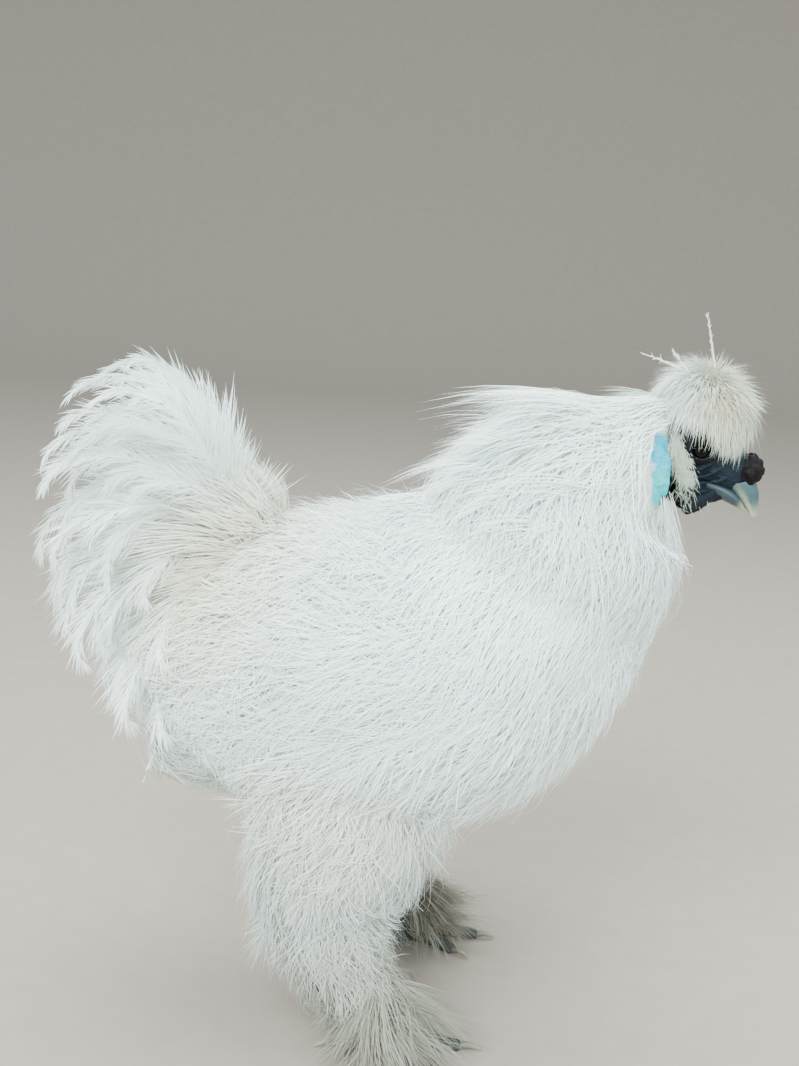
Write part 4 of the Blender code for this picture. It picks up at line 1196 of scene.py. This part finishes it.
def lidShapes(turn):
    # lids: radius, thickness and how far out; folds: points on the left side and thickness
    look = {"lids": ((5.6, 1.25, 16.0), (7.4, 0.85, 15.0)), "long": 1.12, "tall": 0.86,
            "folds": ((((157, 14.0, 311), (149, 15.0, 307), (141, 14.2, 306.5)), 0.9),
                      (((160, 13.0, 307.5), (152, 14.2, 303.5), (144, 13.6, 302.5)), 0.8),
                      (((164, 11.0, 302.6), (157, 12.8, 300.6), (150, 13.0, 299.8)), 0.9),
                      (((161, 13.0, 312), (157.5, 14.0, 317.5), (156, 13.8, 322)), 0.7),
                      (((157, 9.6, 296), (150, 11.4, 295), (144, 11.4, 296.5)), 1.1))}
    x, _, z = eyeAt
    shapes = []
    for radius, thick, out in look["lids"]:
        path, radii = [], []
        for i in range(25):
            a = 2 * math.pi * i / 24
            inward = 0.10 * radius * math.cos(a) * math.cos(a) * 1.6
            path.append((x + radius * math.cos(a) * look["long"], turn * (out - inward),
                         z + radius * look["tall"] * math.sin(a)))
            radii.append(thick * (1.0 + 0.25 * math.sin(a)))  # thicker above
        shapes.append(rope(path, radii, 8, 48))
    for path, thick in look["folds"]:
        path = [(px, turn * py, pz) for px, py, pz in path]
        shapes.append(rope(path, [thick * 0.5, thick, thick * 0.5], 8, 14))
    return shapes


def headShapes():
    throat = [(166, 293.5, 5.0, 3.2), (160, 292.5, 7.0, 4.5), (152, 294, 9.0, 7.0), (142, 298, 11, 12)]
    shapes = [skull.shell(40, 40), *lidShapes(-1), *lidShapes(1), Loft(inPlane(throat)).shell(20, 24)]
    return shapes + [combShape(), lobeShape(), flip(lobeShape()), wattleShape(), flip(wattleShape())]


def bodyShapes():
    shapes = [torso.shell(40, 40, 0.86), neck.shell(30, 36, 0.72)]
    shapes.append(ball(tailRoot, (20, 20, 26)))
    for side, turn in (("right", -1), ("left", 1)):
        shapes.append(ball((12, turn * 84, 190), (46, 12, 28)))
        shapes.append(Loft(legRows(thighCoat, side)).shell(24, 24, 0.78))
        shapes.append(Loft(legRows(shankCoat, side)).shell(20, 20, 0.55))
    return shapes


# Toes: label, heading in degrees, length, and radius at the root and at the tip
toes = [("2", -32, 30, 4.6, 3.2), ("3", 2, 40, 4.8, 3.2), ("4", 36, 33, 4.4, 3.0), ("1", 168, 19, 4.0, 2.8)]


def toePath(side, heading, length, root, tip):
    x0, y0, outward = stance[side]
    a = math.radians(heading)
    out = np.array((math.cos(a), outward * math.sin(a), 0))
    path, radii = [], []
    for s in np.linspace(0, 1, 6):
        high = root * 0.72 + 1.6 * math.sin(math.pi * s) - (root - tip) * 0.5 * s
        path.append(np.array((x0 + 4, y0, high)) + out * (3 + length * s))
        radii.append(root + (tip - root) * s)
    return path, radii, out


def fifthPath(side):
    # the toe that stands up at the back of the foot, as far and as high as each row says
    rows = ((0, 12.0), (9, 12.5), (16, 17.0), (19, 24.0))
    x0, y0, outward = stance[side]
    a = math.radians(150)
    out = np.array((math.cos(a), -outward * math.sin(a), 0))
    return [np.array((x0 + 2, y0, high)) + out * ahead for ahead, high in rows], out


def footShapes(side):
    x0, y0, _ = stance[side]
    ankle = [(x0 + 5, y0, 6, 5.5, 6), (x0 + 1, y0, 14, 5.2, 5.6), (x0 - 4, y0, 26, 5.5, 6.5)]
    shapes = [ball((x0 + 4, y0, 6), (11, 10, 8)), Loft(ankle).shell(10, 18)]
    for _, *toe in toes:
        path, radii, _ = toePath(side, *toe)
        knuckles = [r * (1.0 + 0.07 * math.cos(i * math.pi)) for i, r in enumerate(radii)]
        shapes.append(rope(path, knuckles, 14, 24))
    path, _ = fifthPath(side)
    shapes.append(rope(path, (4, 3.4, 2.9, 2.5), 14, 18))
    return shapes


def unwrap(mesh):
    # an unwrap by where a face looks: six views of the bird's own shape, side by side
    coords = points(mesh)
    low, high = coords.min(axis=0), coords.max(axis=0)
    share = (coords - low) / (high - low).max()
    totals = np.zeros(len(mesh.polygons), np.int32)
    mesh.polygons.foreach_get("loop_total", totals)
    facing = np.zeros(len(mesh.polygons) * 3, np.float32)
    mesh.polygons.foreach_get("normal", facing)
    facing = facing.reshape(-1, 3)
    axis = np.abs(facing).argmax(axis=1)
    sign = facing[np.arange(len(facing)), axis] > 0
    tile = np.repeat(axis * 2 + sign, totals)
    axis = np.repeat(axis, totals)
    loops = np.zeros(len(mesh.loops), np.int32)
    mesh.loops.foreach_get("vertex_index", loops)
    rows = np.arange(len(loops))
    u = share[loops][rows, np.where(axis == 0, 1, 0)] * 0.32 + (tile % 3) * 0.335
    v = share[loops][rows, np.where(axis == 2, 1, 2)] * 0.48 + (tile // 3) * 0.5
    setUnwrap(mesh, np.stack([u, v], axis=-1))


slate = np.array((0.008, 0.016, 0.026))
darkSlate = np.array((0.004, 0.004, 0.006))


def makeSkin():
    # voxels and smoothing steps of each part, then the face's lines and the colours
    look = {"head": (0.55, 2), "body": (3.0, 2), "foot": (0.9, 1),
            "mouth": ((168, 8.0, 297.0), (162, 11.4, 298.0), (156.5, 13.0, 299.6), (152.6, 13.6, 302.0)),
            "mouthWidth": 0.75, "mouthDepth": 1.1, "wrinkleSize": 2.2, "wrinkle": 0.35,
            "feathered": (0.82, 0.80, 0.76), "comb": (0.005, 0.002, 0.0035), "lobe": (0.005, 0.36, 0.51),
            "lobePale": (0.045, 0.63, 0.67), "footRgb": (0.05, 0.05, 0.052)}
    head = merged("head_part", headShapes(), *look["head"])
    body = merged("skin", bodyShapes(), *look["body"])
    feet = [merged(f"foot_part_{side}", footShapes(side), *look["foot"]) for side in stance]
    for foot in feet:
        coords = points(foot.data)
        coords[:, 2] = np.maximum(coords[:, 2], 0.0)
        setPoints(foot.data, coords)
    joined(body, [head, *feet])
    mesh = body.data
    mesh.materials.clear()
    mesh.materials.append(skin)
    mesh.shade_smooth()
    coords = points(mesh)
    out = normals(mesh)
    # the mouth's line runs back from the bill into the face
    line = np.array(look["mouth"])
    flat = oneSided(coords)
    gap = np.full(len(coords), 1e9)
    for a, b in zip(line[:-1], line[1:]):
        t = np.clip(((flat - a) @ (b - a)) / ((b - a) @ (b - a)), 0, 1)
        gap = np.minimum(gap, np.linalg.norm(flat - a - t[:, None] * (b - a), axis=1))
    mouth = np.exp(-((gap / look["mouthWidth"]) ** 2))
    inFace = (coords[:, 0] > 138) & (coords[:, 2] > 278)
    wrinkle = np.zeros(len(coords))
    wrinkle[inFace] = lumps(coords[inFace], look["wrinkleSize"])
    coords = coords + out * (wrinkle * look["wrinkle"] - mouth * look["mouthDepth"])[:, None]
    setPoints(mesh, coords)

    def step(value, edge, soft):
        return np.clip((value - edge) / soft + 0.5, 0, 1)

    def inside(spots, centre, radii, edge):
        return step(-np.linalg.norm((spots - centre) / radii, axis=1), edge, 0.12)

    # each colour over those before it, and where
    bare = step(coords[:, 0], 130, 5) * step(coords[:, 2], 276, 3) * (coords[:, 2] < 345)
    lobe = inside(flat, (128.2, 18.6, 306.5), (7.6, 6.6, 19.5), -1.0) * step(np.abs(coords[:, 1]), 14.6, 1.5)
    # the mouth's crease is painted darker as shade
    covers = [(slate, bare), (darkSlate, near(flat, (148.5, 15, 316.5), (11, 7, 8.5)) * 2.0),
              (darkSlate, bare * step(-coords[:, 2], -296, 6) * 0.6), (darkSlate * 0.5, mouth),
              (look["comb"], inside(coords, comb["at"], (9.4, 11, 9.8), -0.98)), (look["lobe"], lobe),
              (look["lobePale"], lobe * step(-coords[:, 2], -307, 9) * 0.9)]
    for x0, y0, _ in stance.values():
        low = step(-coords[:, 2], -24, 4) * (np.hypot(coords[:, 0] - x0 - 10, coords[:, 1] - y0) < 62)
        covers.append((look["footRgb"], low))
    rgb = np.array(look["feathered"])
    for colour, share in covers:
        rgb = towards(rgb, np.array(colour), share)
    paint(mesh, rgb)
    unwrap(mesh)
    print("skin", len(mesh.polygons), "faces")
    dress(body, "slate_skin", "head", "torso", "neck", "thigh_right", "thigh_left", "shank_right",
          "shank_left", "foot_right", "foot_left", "comb", "earlobe_right", "earlobe_left", "wattle_right",
          "wattle_left")


def addPart(name, slotName, node, verts, faces, material, rgb):
    # a closed piece with its colours and its unwrap
    obj = addMesh(name, verts, faces, material)
    paint(obj.data, rgb)
    unwrap(obj.data)
    dress(obj, slotName, node)


def makeBill():
    # the upper half hooks over the lower, with a nostril on each side and a pale cutting edge
    look = {"upper": ((162, 0, 303.6, 8.6, 5.4), (168, 0, 302.4, 8.0, 6.2), (173.6, 0, 299.0, 6.8, 6.6),
                      (177.4, 0, 294.0, 5.2, 5.8), (179.9, 0, 289.2, 3.5, 4.2),
                      (181.6, 0, 284.8, 1.9, 2.3), (182.2, 0, 281.6, 0.8, 0.9)),
            "lower": ((155, 0, 298.0, 8.6, 4.2), (162, 0, 295.4, 7.6, 4.2), (168.4, 0, 292.2, 5.9, 3.8),
                      (173.4, 0, 288.6, 3.7, 2.6), (176.6, 0, 285.6, 1.5, 1.1)),
            "ridge": 0.7, "nostril": ((172.0, 7.4, 300.6), (1.7, 1.8, 0.8)), "nostrilDepth": 1.8,
            "teal": (0.030, 0.080, 0.092), "deep": (0.014, 0.028, 0.040), "cream": (0.40, 0.42, 0.28)}
    teal, deep, cream = (np.array(look[key]) for key in ("teal", "deep", "cream"))
    rings, sides = 60, 48
    loft = Loft(look["upper"], fine=120)
    verts, faces = loft.shell(rings, sides)
    run = shellRun(rings, sides)
    angle = np.append(np.tile(np.arange(sides) * 2 * np.pi / sides, rings), (0, 0))
    ridge = np.exp(-((np.minimum(angle, 2 * np.pi - angle) / 0.42) ** 2)) * look["ridge"]
    centre = loft.look(run * loft.reach)[:, :3]
    verts = verts + unit(verts - centre) * ridge[:, None]
    hole = near(oneSided(verts), *look["nostril"])
    verts = verts - unit(verts - centre) * hole[:, None] * look["nostrilDepth"]
    pale = np.clip((run - 0.72) / 0.28, 0, 1) ** 1.3
    edge = np.exp(-(((np.abs(angle - np.pi) - 1.05) / 0.30) ** 2)) * np.clip(run * 1.6 - 0.2, 0, 1)
    rgb = towards(towards(deep, teal, run * 2.2), cream, pale + edge * 0.75)
    # painted shade: the nostril's hollow is painted near black
    rgb = towards(rgb, darkSlate, hole * 1.3)
    addPart("bill_upper", "beak_horn", "beak_upper", verts, faces, horn, rgb)
    rings, sides = 40, 32
    verts, faces = Loft(look["lower"], fine=80).shell(rings, sides)
    run = shellRun(rings, sides)
    pale = np.clip((run - 0.76) / 0.24, 0, 1) ** 1.2
    rgb = towards(towards(deep, teal, np.clip(run * 1.4, 0, 1) * 0.25), cream, pale)
    addPart("bill_lower", "beak_horn", "beak_lower", verts, faces, horn, rgb)


def makeEyes():
    look = {"bulge": 0.05, "pupil": (0.001, 0.001, 0.001), "iris": (0.0025, 0.001, 0.0005)}
    x, y, z = eyeAt
    for side, turn in (("right", -1), ("left", 1)):
        verts, faces = ball((0, 0, 0), (1, 1, 1), 48, 32)
        out = verts @ np.array((0.12, turn, 0.05))
        cornea = np.clip((out - 0.78) / 0.22, 0, 1)[:, None]
        verts = verts * (1 + look["bulge"] * cornea) * eyeRadius + np.array((x, turn * abs(y), z))
        iris = np.clip((0.93 - out) * 14, 0, 1) * np.clip((out - 0.62) * 10, 0, 1)
        rgb = np.array(look["pupil"]) + np.array(look["iris"]) * iris[:, None]
        addPart(f"eyeball_{side}", "eye", f"eye_{side}", verts, faces, wetEye, rgb)


def makeClaws():
    # the claw's line is how far it goes out and up from the toe's tip; upright is that of the fifth toe
    look = {"line": ((-1.5, 0.0), (0.6, 0.1), (4.5, 0.9), (8.5, -0.1), (11.5, -1.6)),
            "upright": ((0, -1.5), (0, 1.0), (1, 5.0), (0.2, 9.0), (-1.5, 12.0)),
            "radii": (1.8, 1.9, 1.7, 1.2, 0.4), "rgb": (0.10, 0.09, 0.08), "paler": (0.17, 0.15, 0.11)}
    rgb = np.array(look["rgb"]) + np.array(look["paler"]) * shellRun(24, 16)[:, None]
    for side in stance:
        ends = []
        for label, *toe in toes:
            path, _, out = toePath(side, *toe)
            ends.append((label, path, out, look["line"]))
        ends.append(("5", *fifthPath(side), look["upright"]))
        for label, path, out, line in ends:
            claw = [path[-1] + out * ahead + (0, 0, up) for ahead, up in line]
            verts, faces = rope(claw, look["radii"], 16, 24)
            verts[:, 2] = np.maximum(verts[:, 2], 0.0)
            addPart(f"nail_{side}_{label}", "claw_horn", f"claw_{side}_{label}", verts, faces, horn, rgb)


makeSkin()
makeBill()
makeEyes()
makeClaws()
print("skin, bill, eyes and claws made")
